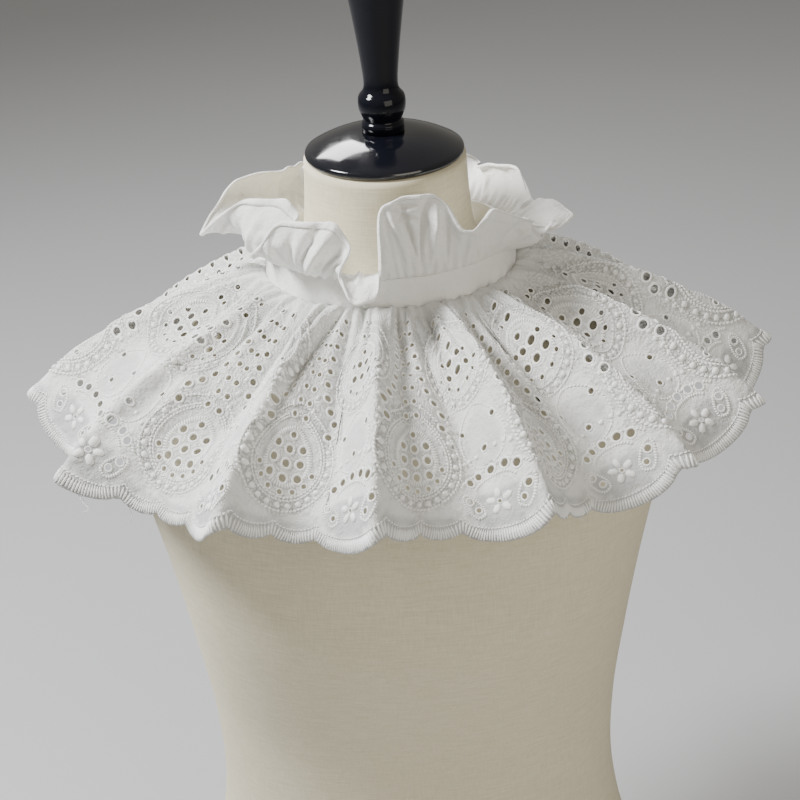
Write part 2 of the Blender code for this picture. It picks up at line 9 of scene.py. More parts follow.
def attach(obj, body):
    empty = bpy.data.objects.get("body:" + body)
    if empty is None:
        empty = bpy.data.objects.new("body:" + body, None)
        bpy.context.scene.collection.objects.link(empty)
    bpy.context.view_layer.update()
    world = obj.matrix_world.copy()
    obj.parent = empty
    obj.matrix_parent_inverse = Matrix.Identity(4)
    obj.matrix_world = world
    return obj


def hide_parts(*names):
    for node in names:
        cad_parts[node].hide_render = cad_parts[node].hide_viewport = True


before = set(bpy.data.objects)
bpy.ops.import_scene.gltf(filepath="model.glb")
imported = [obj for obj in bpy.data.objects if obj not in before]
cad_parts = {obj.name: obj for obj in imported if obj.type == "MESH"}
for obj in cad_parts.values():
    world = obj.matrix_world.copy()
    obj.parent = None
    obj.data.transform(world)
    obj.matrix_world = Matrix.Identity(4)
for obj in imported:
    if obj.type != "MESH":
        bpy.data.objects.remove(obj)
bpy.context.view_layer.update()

world = bpy.context.scene.collection
print("collar: frame loaded")

# The camera stands in front, above the collar, a little tilted
cameraSet = {
    "target": (0.001, -0.020, 0.5205), "distance": 1.35, "pitch": 27.0, "roll": 3.2,
    "lens": 89.3, "sensor": 36.0, "farEnd": 60.0,
}


def addCamera():
    pitch = math.radians(cameraSet["pitch"])
    roll = math.radians(cameraSet["roll"])
    forward = Vector((0.0, math.cos(pitch), -math.sin(pitch)))
    right = Vector((1.0, 0.0, 0.0))
    up = right.cross(forward)
    tiltedRight = right * math.cos(roll) - up * math.sin(roll)
    tiltedUp = right * math.sin(roll) + up * math.cos(roll)
    place = Vector(cameraSet["target"]) - forward * cameraSet["distance"]
    lens = bpy.data.cameras.new("camera")
    lens.lens = cameraSet["lens"]
    lens.sensor_width = cameraSet["sensor"]
    lens.clip_end = cameraSet["farEnd"]
    camera = bpy.data.objects.new("camera", lens)
    turn = Matrix((tiltedRight, tiltedUp, -forward)).transposed().to_4x4()
    camera.matrix_world = Matrix.Translation(place) @ turn
    world.objects.link(camera)
    bpy.context.scene.camera = camera


addCamera()


# Shader maths: a Value is a number that varies over the surface
class Value:
    def __init__(self, tree, socket):
        self.tree = tree
        self.socket = socket

    def math(self, operation, other, swapped=False):
        node = self.tree.nodes.new("ShaderNodeMath")
        node.operation = operation
        pair = (other, self) if swapped else (self, other)
        for slot, item in zip(node.inputs, pair):
            if isinstance(item, Value):
                self.tree.links.new(item.socket, slot)
            else:
                slot.default_value = item
        return Value(self.tree, node.outputs[0])

    def __add__(self, other):
        return self.math("ADD", other)

    def __sub__(self, other):
        return self.math("SUBTRACT", other)

    def __rsub__(self, other):
        return self.math("SUBTRACT", other, swapped=True)

    def __mul__(self, other):
        return self.math("MULTIPLY", other)

    __radd__ = __add__
    __rmul__ = __mul__

    def atMost(self, other):
        return self.math("MINIMUM", other)

    def atLeast(self, other):
        return self.math("MAXIMUM", other)


class Finish:
    # A material with one Principled shader, and one method for every other node
    def __init__(self, name, uniform):
        self.material = bpy.data.materials.new(name)
        self.material.use_nodes = True
        self.tree = self.material.node_tree
        self.shader = self.tree.nodes["Principled BSDF"]
        for socket, value in uniform.items():
            self.shader.inputs[socket].default_value = value
        colour = uniform.get("Base Color")
        if colour:
            self.material.diffuse_color = colour

    def node(self, kind, settings=None, sockets=None, out=0):
        made = self.tree.nodes.new(kind)
        for key, value in (settings or {}).items():
            setattr(made, key, value)
        for slot, value in (sockets or {}).items():
            if isinstance(value, Value):
                self.tree.links.new(value.socket, made.inputs[slot])
            else:
                made.inputs[slot].default_value = value
        return Value(self.tree, made.outputs[out])

    def feed(self, socket, value):
        self.tree.links.new(value.socket, self.shader.inputs[socket])

    def place(self):
        return self.node("ShaderNodeTexCoord", out=3)

    def attribute(self, name, out=2):
        return self.node("ShaderNodeAttribute", {"attribute_name": name}, out=out)

    def scaled(self, place, scale):
        return self.node("ShaderNodeMapping", {}, {0: place, 3: scale})

    def noise(self, place, scale, detail=3.0, roughness=0.5):
        sockets = {"Vector": place, "Scale": scale, "Detail": detail, "Roughness": roughness}
        return self.node("ShaderNodeTexNoise", {}, sockets)

    def mix(self, factor, first, second):
        return self.node("ShaderNodeMix", {"data_type": "RGBA"}, {0: factor, 6: first, 7: second}, out=2)

    def threads(self, place, pitch, axis):
        # One set of a weave's threads, as even ridges across an axis
        settings = {"wave_type": "BANDS", "bands_direction": axis, "wave_profile": "SIN"}
        return self.node("ShaderNodeTexWave", settings, {"Vector": place, "Scale": 0.31416 / pitch}, out=1)

    def bump(self, height, distance, strength=1.0, normal=None):
        sockets = {"Height": height, "Distance": distance, "Strength": strength}
        if normal:
            sockets["Normal"] = normal
        return self.node("ShaderNodeBump", {}, sockets)


# The shades of the finishes, most of which drift between two of them; pit and the sheer ones are painted shade
shades = {
    "eyelet": (0.872, 0.872, 0.850, 1.0), "eyeletSheerShade": (0.50, 0.505, 0.50, 1.0),
    "plain": (0.905, 0.902, 0.878, 1.0), "plainSheerShade": (0.68, 0.665, 0.62, 1.0),
    "worked": (0.885, 0.885, 0.868, 1.0), "pitShade": (0.43, 0.43, 0.415, 1.0),
    "thread": (0.860, 0.860, 0.840, 1.0), "threadPale": (0.925, 0.925, 0.91, 1.0),
    "linen": (0.760, 0.700, 0.530, 1.0), "linenPale": (0.850, 0.795, 0.625, 1.0),
    "linenGap": (0.630, 0.570, 0.410, 1.0),
    "lacquer": (0.0045, 0.0050, 0.0085, 1.0), "dust": (0.05, 0.05, 0.055, 1.0),
    "pearl": (0.72, 0.71, 0.67, 1.0), "pearlPale": (0.90, 0.89, 0.86, 1.0),
    "floor": (0.45, 0.455, 0.465, 1.0), "floorPale": (0.485, 0.49, 0.50, 1.0),
}
groundShade = 0.955


def cottonFinish(name, colour, sheerShadeColour, weave, crumple):
    # Plain woven cotton. Point attributes: flat is the place on the cut cloth in metres, the sheer one is 1
    # where the thin bare voile is greyed with painted shade, stitched is 1 where it is filled with thread
    finish = Finish(name, {"Sheen Weight": 0.16, "Sheen Roughness": 0.45, "Specular IOR Level": 0.3})
    flat = finish.attribute("flat", out=1)
    sheerShade = finish.attribute("sheerShade").atMost(1.0).atLeast(0.0)
    filled = finish.attribute("stitched").atMost(1.0).atLeast(0.0)
    place = finish.place()
    cloudy = finish.noise(place, 38.0, 4.0, 0.6)
    tint = (cloudy - 0.5) * 0.5 + 0.5
    seeds = finish.node("ShaderNodeTexVoronoi", {"feature": "F1"}, {"Vector": flat, "Scale": 560.0}, out=0)
    # Painted shade: the ground darkens towards the pit colour in the hollows between the small stitches
    shadedPits = (seeds * seeds * 3.0).atMost(1.0) * filled
    ground = finish.mix(tint, [c * groundShade for c in colour[:3]] + [1.0], colour)
    # Painted shade: the ground greys towards the sheer colour where the voile is thin and bare
    ground = finish.mix(sheerShade, ground, sheerShadeColour)
    worked = finish.mix(filled, ground, shades["worked"])
    finish.feed("Base Color", finish.mix(shadedPits * 0.80, worked, shades["pitShade"]))
    warp = finish.threads(flat, weave, "X")
    weft = finish.threads(flat, weave * 1.08, "Y")
    slub = finish.noise(finish.scaled(flat, (900.0, 220.0, 1.0)), 1.0, 2.0)
    cloth = finish.bump(warp * weft + slub * 0.8, 0.00010, 0.35)
    cloth = finish.bump((1.0 - seeds) * filled, 0.0011, 0.9, cloth)
    soft = finish.noise(place, crumple, 4.0, 0.66)
    finish.feed("Normal", finish.bump(soft, 0.0036, 0.72, cloth))
    finish.feed("Roughness", 0.76 + cloudy * 0.14)
    return finish.material


def threadFinish():
    # Mercerised embroidery thread: brighter and smoother than the ground, with fine strands
    uniform = {"Sheen Weight": 0.22, "Sheen Roughness": 0.35, "Specular IOR Level": 0.42}
    finish = Finish("embroidery_thread", uniform)
    place = finish.place()
    strand = finish.noise(finish.scaled(place, (1900.0, 1900.0, 1900.0)), 1.0, 2.0)
    cloudy = finish.noise(place, 55.0, 3.0)
    finish.feed("Base Color", finish.mix(cloudy, shades["thread"], shades["threadPale"]))
    finish.feed("Roughness", 0.50 + strand * 0.22)
    finish.feed("Normal", finish.bump(strand, 0.00022, 0.55))
    return finish.material


def linenFinish():
    # Cream linen with slubby level threads, drawn tight over the form
    finish = Finish("cream_linen", {"Sheen Weight": 0.08, "Sheen Roughness": 0.5, "Specular IOR Level": 0.25})
    place = finish.place()
    slub = finish.noise(finish.scaled(place, (70.0, 70.0, 1300.0)), 1.0, 3.0, 0.6)
    upright = finish.noise(finish.scaled(place, (1100.0, 1100.0, 80.0)), 1.0, 3.0, 0.6)
    weft = finish.threads(place, 0.00075, "Z")
    cloudy = finish.noise(place, 9.0, 3.0)
    pale = finish.mix(cloudy, shades["linen"], shades["linenPale"])
    shade = (slub * 0.6 + upright * 0.4 - 0.36).atLeast(0.0) * 2.6
    finish.feed("Base Color", finish.mix(shade.atMost(1.0), shades["linenGap"], pale))
    finish.feed("Roughness", 0.78 + upright * 0.16)
    finish.feed("Normal", finish.bump(slub + upright * 0.7 + weft * 0.35, 0.00022, 0.5))
    return finish.material


def lacquerFinish(name, specular, coat):
    # Black lacquer over turned wood: a faint orange peel, a few rubbed patches
    uniform = {"Base Color": shades["lacquer"], "Specular IOR Level": specular}
    finish = Finish(name, {**uniform, "Coat Weight": coat, "Coat Roughness": 0.035})
    place = finish.place()
    rubbed = finish.noise(place, 26.0, 5.0, 0.65)
    finish.feed("Roughness", 0.10 + ((rubbed - 0.52).atLeast(0.0)) * 0.9)
    peel = finish.noise(place, 240.0, 2.0)
    finish.feed("Normal", finish.bump(peel, 0.00012, 0.22))
    dust = (finish.noise(place, 900.0, 1.0) - 0.76).atLeast(0.0) * 5.0
    finish.feed("Base Color", finish.mix(dust.atMost(1.0), shades["lacquer"], shades["dust"]))
    return finish.material


def pearlFinish():
    # Pearly shirt button: pale with a soft swirl
    finish = Finish("pearl_button", {"Coat Weight": 0.6, "Coat Roughness": 0.12, "Specular IOR Level": 0.5})
    place = finish.place()
    swirl = finish.noise(finish.scaled(place, (380.0, 120.0, 260.0)), 1.0, 4.0)
    finish.feed("Base Color", finish.mix(swirl, shades["pearl"], shades["pearlPale"]))
    finish.feed("Roughness", 0.16 + swirl * 0.2)
    return finish.material


def floorFinish():
    finish = Finish("pale_floor", {"Specular IOR Level": 0.2})
    place = finish.place()
    cloudy = finish.noise(place, 1.6, 3.0)
    finish.feed("Base Color", finish.mix(cloudy, shades["floor"], shades["floorPale"]))
    finish.feed("Roughness", 0.80 + cloudy * 0.1)
    return finish.material


eyeletCotton = cottonFinish("eyelet_cotton", shades["eyelet"], shades["eyeletSheerShade"], 0.00052, 120.0)
plainCotton = cottonFinish("plain_cotton", shades["plain"], shades["plainSheerShade"], 0.00040, 75.0)
embroideryThread = threadFinish()
creamLinen = linenFinish()
capLacquer = lacquerFinish("cap_lacquer", 0.5, 0.40)
postLacquer = lacquerFinish("post_lacquer", 0.16, 0.16)
pearlButton = pearlFinish()
print("collar: finishes made")


# Meshes
def addPiece(name, points, faces, material):
    mesh = bpy.data.meshes.new(name)
    mesh.from_pydata([tuple(point) for point in points], [], faces)
    mesh.materials.append(material)
    mesh.shade_smooth()
    piece = bpy.data.objects.new(name, mesh)
    world.objects.link(piece)
    return piece


def addVectors(mesh, name, rows):
    layer = mesh.attributes.new(name, "FLOAT_VECTOR", "POINT")
    layer.data.foreach_set("vector", np.asarray(rows, np.float32).ravel())


def addNumbers(mesh, name, values):
    layer = mesh.attributes.new(name, "FLOAT", "POINT")
    values = np.broadcast_to(np.asarray(values, np.float32), len(mesh.vertices))
    layer.data.foreach_set("value", np.ascontiguousarray(values))


def addCut(mesh, flat, sheerShade):
    # What the cotton's finish reads: the place on the cut cloth, and how far painted shade greys it there
    addVectors(mesh, "flat", flat)
    addNumbers(mesh, "sheerShade", sheerShade)


def addWall(piece, thickness):
    wall = piece.modifiers.new("wall", "SOLIDIFY")
    wall.thickness = thickness
    wall.offset = 0.0
    wall.use_even_offset = False
    wall.use_rim = True


def unit(rows):
    return rows / np.maximum(np.linalg.norm(rows, axis=-1, keepdims=True), 1e-12)


def limited(values):
    return np.clip(values, 0.0, 1.0)


def pathLengths(points):
    # The way along a path up to each of its points
    return np.concatenate([[0.0], np.cumsum(np.linalg.norm(np.diff(points, axis=0), axis=1))])


def gridFaces(columns, rows, roundColumns=False, roundRows=False):
    # Quads over points stored column by column
    faces = []
    for column in range(columns if roundColumns else columns - 1):
        after = (column + 1) % columns
        for row in range(rows if roundRows else rows - 1):
            above = (row + 1) % rows
            here, there = column * rows, after * rows
            faces.append((here + row, there + row, there + above, here + above))
    return faces


def tubeFaces(columns, rows):
    # A tube whose rings are stored one after another, closed at both ends
    last = (columns - 1) * rows
    ends = [tuple(reversed(range(rows))), tuple(range(last, last + rows))]
    return gridFaces(columns, rows, roundRows=True) + ends


def smoothRows(rows, times):
    # A smooth curve through table rows, with that many steps between two of them
    rows = np.asarray(rows, float)
    padded = np.vstack([2.0 * rows[0] - rows[1], rows, 2.0 * rows[-1] - rows[-2]])
    made = []
    for index in range(1, len(padded) - 2):
        before, here, after, later = padded[index - 1:index + 3]
        for step in range(times):
            t = step / times
            bend = (2.0 * here + (after - before) * t
                    + (2.0 * before - 5.0 * here + 4.0 * after - later) * t * t
                    + (3.0 * here - before - 3.0 * after + later) * t ** 3)
            made.append(bend / 2.0)
    made.append(rows[-1])
    return np.array(made)


# Band path: azimuths are degrees round the neck, 0 at the centre front, +90 the +X side
neckBand = {
    "halfWidth": 0.0820, "halfDepth": 0.0770, "bottom": 0.6150, "height": 0.0195, "lean": 0.0020,
    "wall": 0.0016, "lapAngle": 11.0, "lapRise": 0.0022, "seamLapStart": 1.3, "seamLapLength": 0.75,
    "opening": 0.4, "edgeRound": 0.0006, "steps": 420, "ripple": 0.00022, "ripples": 45,
    # soft unevenness: turns round the neck, drift up the band, height
    "waves": [(13.0, 5.0, 0.00018), (29.0, -7.0, 0.00014)],
}


def ringSpan(table, azimuth):
    # Row before each azimuth, and the share of the way from it to the next
    at = np.array([row[0] for row in table], float)
    ring = np.concatenate([at - 360.0, at, at + 360.0])
    index = np.searchsorted(ring, azimuth, side="right") - 1
    return index - len(table), (azimuth - ring[index]) / (ring[index + 1] - ring[index])


def roundTable(table, column, azimuth, straight=False):
    # A table's column round the neck: soft at each row, or straight between them
    values = np.array([row[column] for row in table], float)
    index, share = ringSpan(table, azimuth)
    ease = share if straight else (1.0 - np.cos(np.pi * share)) / 2.0
    return values[index % len(table)] * (1.0 - ease) + values[(index + 1) % len(table)] * ease


def degreesFrom(azimuth, middle):
    return (azimuth - middle + 180.0) % 360.0 - 180.0


def wavering(turn, turns, wander, wanderTurns):
    # The phase of that many waves round the neck, unevenly spaced
    return turn * turns + wander * np.sin(turn * wanderTurns)


def creaseLift(rows, azimuth, along, widening, fading):
    # Creases, each fading in and out on its way along the cloth, and wider towards its end
    lift = along * 0.0
    for start, drift, low, high, width, height in rows:
        share = limited((along - low) / (high - low))
        spread = width * (widening[0] + widening[1] * share)
        shape = np.exp(-(degreesFrom(azimuth - start, drift * share) / spread) ** 2)
        lift = lift + height * shape * np.sin(np.pi * share) ** fading
    return lift


def dentLift(rows, azimuth, along):
    lift = along * 0.0
    for middle, width, place, span, height in rows:
        away = degreesFrom(azimuth, middle)
        lift = lift + height * np.exp(-(away / width) ** 2 - ((along - place) / span) ** 2)
    return lift


def easedRise(share):
    share = limited(share)
    return neckBand["lapRise"] * share * share * (3.0 - 2.0 * share)


def lapOffset(azimuth):
    return easedRise((azimuth - 180.0 + 2.0 * neckBand["lapAngle"]) / neckBand["lapAngle"])


def seamOffset(azimuth):
    start = 180.0 - neckBand["lapAngle"] * neckBand["seamLapStart"]
    under = easedRise((-azimuth - start) / (neckBand["lapAngle"] * neckBand["seamLapLength"]))
    return np.where(azimuth > 0.0, lapOffset(azimuth), under)


def outward(azimuth):
    angle = np.radians(azimuth)
    across = np.sin(angle) / neckBand["halfWidth"]
    return unit(np.stack([across, -np.cos(angle) / neckBand["halfDepth"], angle * 0.0], -1))


def neckRing(azimuth, out, z):
    # Places round the neck base, out from the band's inner side, at a height
    angle = np.radians(azimuth)
    across = neckBand["halfWidth"] * np.sin(angle)
    rows = np.stack([across, -neckBand["halfDepth"] * np.cos(angle), angle * 0.0], -1)
    rows = rows + outward(azimuth) * np.reshape(out, (-1, 1))
    rows[:, 2] = z
    return rows


# The cape: one gathered strip of eyelet cotton, cut flat and then draped
cape = {
    "depth": 0.1870, "seamRoom": 0.0019, "seamLift": 0.0022, "repeats": 15, "hemLine": 0.1750,
    "gathers": 45, "gatherHeight": 0.0017, "gatherEnd": 0.42, "gatherFade": 1.3,
    "fineGathers": (97, 1.3, 9.0), "fineUneven": (11.0, 2.0, 4.0), "fineHeight": 0.0021, "fineEnd": 0.36,
    "creaseGain": 2.1,
    "overhang": 0.45, "foldAtBand": 0.20, "foldStart": 0.10, "foldGrowth": 0.9,
    "second": 0.0028, "secondReach": 1.15, "secondFullness": 0.8, "secondPhase": 1.1,
    "secondWander": 0.9, "secondRate": 1.7, "widthReadAt": 0.88, "tuck": 0.045,
    "cell": 0.0031, "wall": 0.0005, "sideSeam": 90.0, "fallSteps": 12, "rootOut": 0.0003,
    "rootDown": 0.0004, "eyeletRoom": 0.0009, "eyeletInset": 0.00012,
    "meanDepth": 0.179, "solidShare": 0.94, "widening": (0.75, 1.1), "fading": 0.7,
    # azimuth, slope at the band, slope at the hem, bend between them
    "fall": [
        (-180, 34, 76, 1.2), (-135, 34, 70, 1.3), (-108, 30, 58, 1.6), (-88, 24, 50, 2.2),
        (-50, 18, 52, 2.0), (0, 12, 60, 2.0), (50, 17, 52, 2.0), (88, 22, 46, 2.2), (108, 28, 58, 1.6),
        (135, 34, 70, 1.3),
    ],
    # azimuth of each main ridge, height at the hem
    "folds": [
        (-163, 0.0130), (-138, 0.0150), (-113, 0.0130), (-87, 0.0140), (-56, 0.0165), (-26, 0.0165),
        (-4, 0.0140), (20, 0.0160), (44, 0.0165), (66, 0.0135), (88, 0.0150), (113, 0.0130), (137, 0.0150),
        (161, 0.0130),
    ],
    # scallops of a repeat: start, end, drop
    "lobes": [(0.25, 0.75, 0.0120), (0.75, 1.0, 0.0060), (0.0, 0.25, 0.0060)],
    "lobeRound": 0.96,
    # soft creases: azimuth at its start, drift to its end, start and end down
    # the cloth, half width in degrees, height (a trough is negative)
    "creases": [
        (-171, 3, 0.02, 0.44, 1.3, -0.0022), (-156, -3, 0.03, 0.60, 1.6, 0.0021),
        (-149, 4, 0.01, 0.36, 1.2, -0.0026), (-131, -4, 0.03, 0.66, 1.8, 0.0024),
        (-122, 2, 0.02, 0.42, 1.3, -0.0024), (-103, 5, 0.01, 0.52, 1.5, -0.0022),
        (-96, -3, 0.04, 0.74, 1.7, 0.0022), (-79, -5, 0.02, 0.62, 1.6, 0.0026),
        (-73, -2, 0.01, 0.40, 1.2, -0.0027), (-65, -7, 0.03, 0.82, 1.6, -0.0024),
        (-49, 3, 0.02, 0.52, 1.3, -0.0028), (-44, -6, 0.05, 0.92, 1.9, 0.0024),
        (-36, -4, 0.02, 0.70, 1.5, -0.0034), (-30, 2, 0.01, 0.46, 1.1, 0.0024),
        (-21, -5, 0.03, 0.62, 1.3, -0.0026), (-16, 3, 0.02, 0.84, 1.4, -0.0030),
        (-10, -2, 0.01, 0.42, 1.0, 0.0022), (2, 2, 0.02, 0.36, 1.0, -0.0026),
        (7, 5, 0.03, 0.90, 1.5, -0.0034), (13, 2, 0.01, 0.54, 1.1, 0.0026),
        (26, 4, 0.02, 0.64, 1.4, -0.0026), (31, 6, 0.03, 0.92, 1.7, -0.0036),
        (37, 2, 0.02, 0.48, 1.2, 0.0025), (51, 3, 0.02, 0.60, 1.4, -0.0026),
        (56, 7, 0.03, 0.86, 1.7, -0.0024), (73, 5, 0.02, 0.66, 1.5, -0.0026),
        (79, 2, 0.01, 0.38, 1.2, 0.0024), (97, 4, 0.03, 0.70, 1.7, -0.0024),
        (104, 3, 0.02, 0.48, 1.3, 0.0022), (121, -3, 0.02, 0.52, 1.4, -0.0026),
        (129, 4, 0.03, 0.72, 1.7, 0.0024), (147, -3, 0.02, 0.40, 1.3, -0.0024),
        (154, 3, 0.03, 0.64, 1.6, 0.0022), (172, -3, 0.02, 0.46, 1.3, -0.0022),
    ],
    # narrow rope-like ridges on the main folds and the hollows beside them, out past the hem
    "ropes": [
        (-163, 3, 0.04, 1.5, 1.9, 0.0042), (-151, -3, 0.10, 1.5, 2.6, -0.0026),
        (-137, -3, 0.05, 1.5, 2.1, 0.0046), (-124, 2, 0.12, 1.5, 2.8, -0.0028),
        (-112, 3, 0.04, 1.5, 2.0, 0.0040), (-98, -2, 0.10, 1.5, 3.0, -0.0030),
        (-84, -4, 0.03, 1.5, 2.2, 0.0050), (-72, -5, 0.08, 1.5, 3.0, -0.0036),
        (-53, -5, 0.03, 1.6, 1.8, 0.0062), (-46, 1, 0.06, 1.5, 2.2, -0.0034),
        (-25, -4, 0.03, 1.6, 1.6, 0.0064), (-31, -7, 0.10, 1.5, 2.4, -0.0036),
        (-19, 3, 0.05, 1.4, 1.8, -0.0032), (-5, 1, 0.03, 1.6, 1.5, 0.0056), (1, 2, 0.06, 1.5, 1.7, -0.0030),
        (12, 1, 0.03, 1.4, 1.5, -0.0042), (19, 2, 0.03, 1.6, 1.6, 0.0064), (27, 5, 0.05, 1.5, 2.0, -0.0048),
        (42, 4, 0.03, 1.6, 1.8, 0.0060), (50, 2, 0.07, 1.5, 2.4, -0.0034), (64, 5, 0.03, 1.5, 1.9, 0.0052),
        (73, 2, 0.08, 1.5, 2.6, -0.0032), (87, 3, 0.04, 1.5, 2.1, 0.0046),
        (100, -2, 0.10, 1.5, 2.8, -0.0028), (113, -2, 0.04, 1.5, 2.0, 0.0042),
        (125, 3, 0.12, 1.5, 2.8, -0.0026), (136, 2, 0.05, 1.5, 2.0, 0.0044),
        (149, -3, 0.10, 1.5, 2.6, -0.0028), (160, -2, 0.04, 1.5, 1.9, 0.0042),
    ],
    # shallow cross ripples where the cloth turns over the shoulder: azimuth, half width in
    # degrees, place down the cloth, half length down it, height
    "dents": [
        (-118, 9, 0.55, 0.10, -0.0016), (-92, 8, 0.62, 0.07, -0.0020), (-70, 7, 0.44, 0.08, -0.0016),
        (-40, 6, 0.70, 0.06, 0.0014), (-12, 5, 0.52, 0.07, -0.0014), (15, 5, 0.66, 0.06, 0.0012),
        (52, 7, 0.48, 0.08, -0.0015), (82, 8, 0.60, 0.07, -0.0020), (110, 9, 0.52, 0.09, -0.0016),
    ],
}


def foldPhase(azimuth):
    # Turns of the folds up to an azimuth, and the fold's height there
    index, share = ringSpan(cape["folds"], azimuth)
    return index + share, roundTable(cape["folds"], 1, azimuth, straight=True)


def fallOf(azimuth, depth):
    # How far out and down the cloth has come at a share of its depth, and its slope there
    first = np.radians(roundTable(cape["fall"], 1, azimuth))
    last = np.radians(roundTable(cape["fall"], 2, azimuth))
    bend = roundTable(cape["fall"], 3, azimuth)
    steps = cape["fallSteps"]
    length = depth * cape["depth"] / steps
    reach = depth * 0.0
    drop = depth * 0.0
    for step in range(steps):
        slope = first + (last - first) * (depth * (step + 0.5) / steps) ** bend
        reach = reach + np.cos(slope) * length
        drop = drop + np.sin(slope) * length
    return reach, drop, first + (last - first) * depth ** bend


def creasesOf(azimuth, depth):
    # What is added to the solid's form: listed creases, cross dents and finer gathers
    bends = (cape["widening"], cape["fading"])
    lift = cape["creaseGain"] * creaseLift(cape["creases"], azimuth, depth, *bends)
    lift = lift + creaseLift(cape["ropes"], azimuth, depth, *bends) + dentLift(cape["dents"], azimuth, depth)
    turn = np.radians(azimuth)
    uneven = 0.62 + 0.38 * np.sin(wavering(turn, *cape["fineUneven"]))
    fading = limited(1.0 - depth / cape["fineEnd"]) ** 1.2 * limited(depth / 0.03)
    return lift + cape["fineHeight"] * uneven * fading * np.cos(wavering(turn, *cape["fineGathers"]))


def capePoint(azimuth, depth, creased=True):
    azimuth = np.asarray(azimuth, float)
    depth = np.maximum(np.asarray(depth, float), 0.0)
    reach, drop, slope = fallOf(azimuth, depth)
    turns, height = foldPhase(azimuth)
    phase = 2.0 * np.pi * turns
    atBand = cape["foldAtBand"] * np.minimum(1.0, depth / cape["foldStart"])
    main = height * (atBand + (1.0 - cape["foldAtBand"]) * depth ** cape["foldGrowth"])
    second = np.sin(np.pi * np.minimum(1.0, depth * cape["secondReach"])) ** cape["secondFullness"]
    second = cape["second"] * second
    wander = cape["secondWander"] * np.sin(cape["secondRate"] * turns)
    secondPhase = 2.0 * phase + cape["secondPhase"] + wander
    gather = cape["gatherHeight"] * np.maximum(0.0, 1.0 - depth / cape["gatherEnd"]) ** cape["gatherFade"]
    lift = main * np.cos(phase) + second * np.cos(secondPhase)
    lift = lift + gather * np.cos(np.radians(azimuth) * cape["gathers"])
    if creased:
        lift = lift + creasesOf(azimuth, depth)
    swing = -cape["overhang"] * main * np.sin(phase)
    out = outward(azimuth)
    sideways = np.stack([-out[:, 1], out[:, 0], out[:, 2]], -1)
    normal = out * np.sin(slope)[:, None]
    normal[:, 2] += np.cos(slope)
    seamOut = neckBand["wall"] + cape["seamRoom"] + seamOffset(azimuth)
    seam = neckRing(azimuth, seamOut, neckBand["bottom"] + cape["seamLift"] + cape["gatherHeight"])
    place = seam + out * reach[:, None] + normal * lift[:, None] + sideways * swing[:, None]
    place[:, 2] -= drop
    if creased:
        # The top edge goes in under the band and down a little, to its stitching
        share = limited(1.0 - depth / cape["tuck"]) ** 2
        root = neckRing(azimuth, cape["rootOut"] + seamOffset(azimuth), neckBand["bottom"] - cape["rootDown"])
        place = place * (1.0 - share[:, None]) + root * share[:, None]
    return place


def hemLengths():
    # The way along the strip at each azimuth, measured on its folds near the hem
    edge = 180.0 - neckBand["opening"]
    azimuths = np.linspace(-edge, edge, 1081)
    depth = np.full(len(azimuths), cape["widthReadAt"])
    return azimuths, pathLengths(capePoint(azimuths, depth, creased=False))


hemAzimuths, hemAcross = hemLengths()
stripWidth = hemAcross[-1]
repeatWidth = stripWidth / cape["repeats"]
print("collar: cape strip %.3f m of hem, repeat %.1f mm" % (stripWidth, repeatWidth * 1000))


def worn(across, down, lift=0.0):
    # Where a place on the flat strip ends up, with the way along the strip and the way out there
    across = np.asarray(across, float)
    down = np.maximum(np.asarray(down, float), 0.0)
    small = 0.0004

    def at(a, d):
        return capePoint(np.interp(a, hemAcross, hemAzimuths), d / cape["depth"])

    right = (at(across + small, down) - at(across - small, down)) / (2.0 * small)
    along = (at(across, down + small) - at(across, np.maximum(down - small, 0.0)))
    along = along / (small + np.minimum(small, down))[:, None]
    out = unit(np.cross(along, right))
    return at(across, down) + out * np.reshape(lift, (-1, 1)), unit(right), out


def lobeDepth(across):
    # Depth of the scalloped hem at a place across the strip
    share = (across / repeatWidth + 0.5) % 1.0
    depth = np.full(np.shape(share), cape["hemLine"])
    for start, end, drop in cape["lobes"]:
        local = 2.0 * (share - start) / (end - start) - 1.0
        deeper = cape["hemLine"] + drop * np.sqrt(np.maximum(0.0, 1.0 - local * local * cape["lobeRound"]))
        depth = np.where((share >= start) & (share <= end), deeper, depth)
    return depth


# Embroidery of one repeat, flat: across from the hem medallion's middle, above the hem line
embroidery = {
    "medallion": 0.046, "upperMedallion": 0.118, "upperDrop": 0.003, "pitch": 0.0098, "cellBorder": 0.0345,
    "rimWidth": 0.34, "rimHeight": 0.0019, "eyeletSides": 12, "bandDepth": 0.0096, "stitchRoom": 0.0007,
    # how much wider eyelets are cut near the band, from what height, over what height
    "squeeze": (0.65, 0.085, 0.09),
    # eyelets rising on both sides of the medallion, in millimetres: across, above the hem line, diameter
    "rising": [
        (24.5, 70, 5.6), (27.0, 81, 5.7), (22.0, 89, 5.4), (17.5, 97.5, 5.1), (14.8, 107, 4.8),
        (13.2, 117, 4.6), (12.2, 127.5, 4.6), (11.4, 138, 4.4), (10.8, 149, 4.2), (10.4, 160, 3.8),
        (5.0, 78, 4.6), (4.4, 89, 4.4), (4.2, 100, 4.4), (4.0, 112, 4.2), (3.9, 124, 4.2), (3.8, 137, 4.0),
        (3.8, 150, 3.6),
    ],
    # inner and outer radius of the rings round the hem medallion, then the upper one
    "bareRings": ((0.0135, 0.0205), (0.0155, 0.0215)),
    "filledRings": ((0.0215, 0.0345), (0.0225, 0.034)),
    "filledMiddles": ((-0.002, 0.0125), (-0.002, 0.0135)),
    # half an outline of a leaf beside the flower, in millimetres: across, above the hem line
    "leaf": [
        (11.0, 7.0), (16.0, 5.2), (20.5, 9.5), (23.6, 17.5), (22.0, 21.5), (16.5, 18.8), (11.8, 12.5),
        (11.0, 7.0),
    ],
}
mm = 0.001
halfRepeat = repeatWidth / 2.0


def mirrored(rows):
    # Rows in millimetres, on both sides of the middle
    return [(side * x * mm, h * mm, d * mm) for side in (1.0, -1.0) for x, h, d in rows]


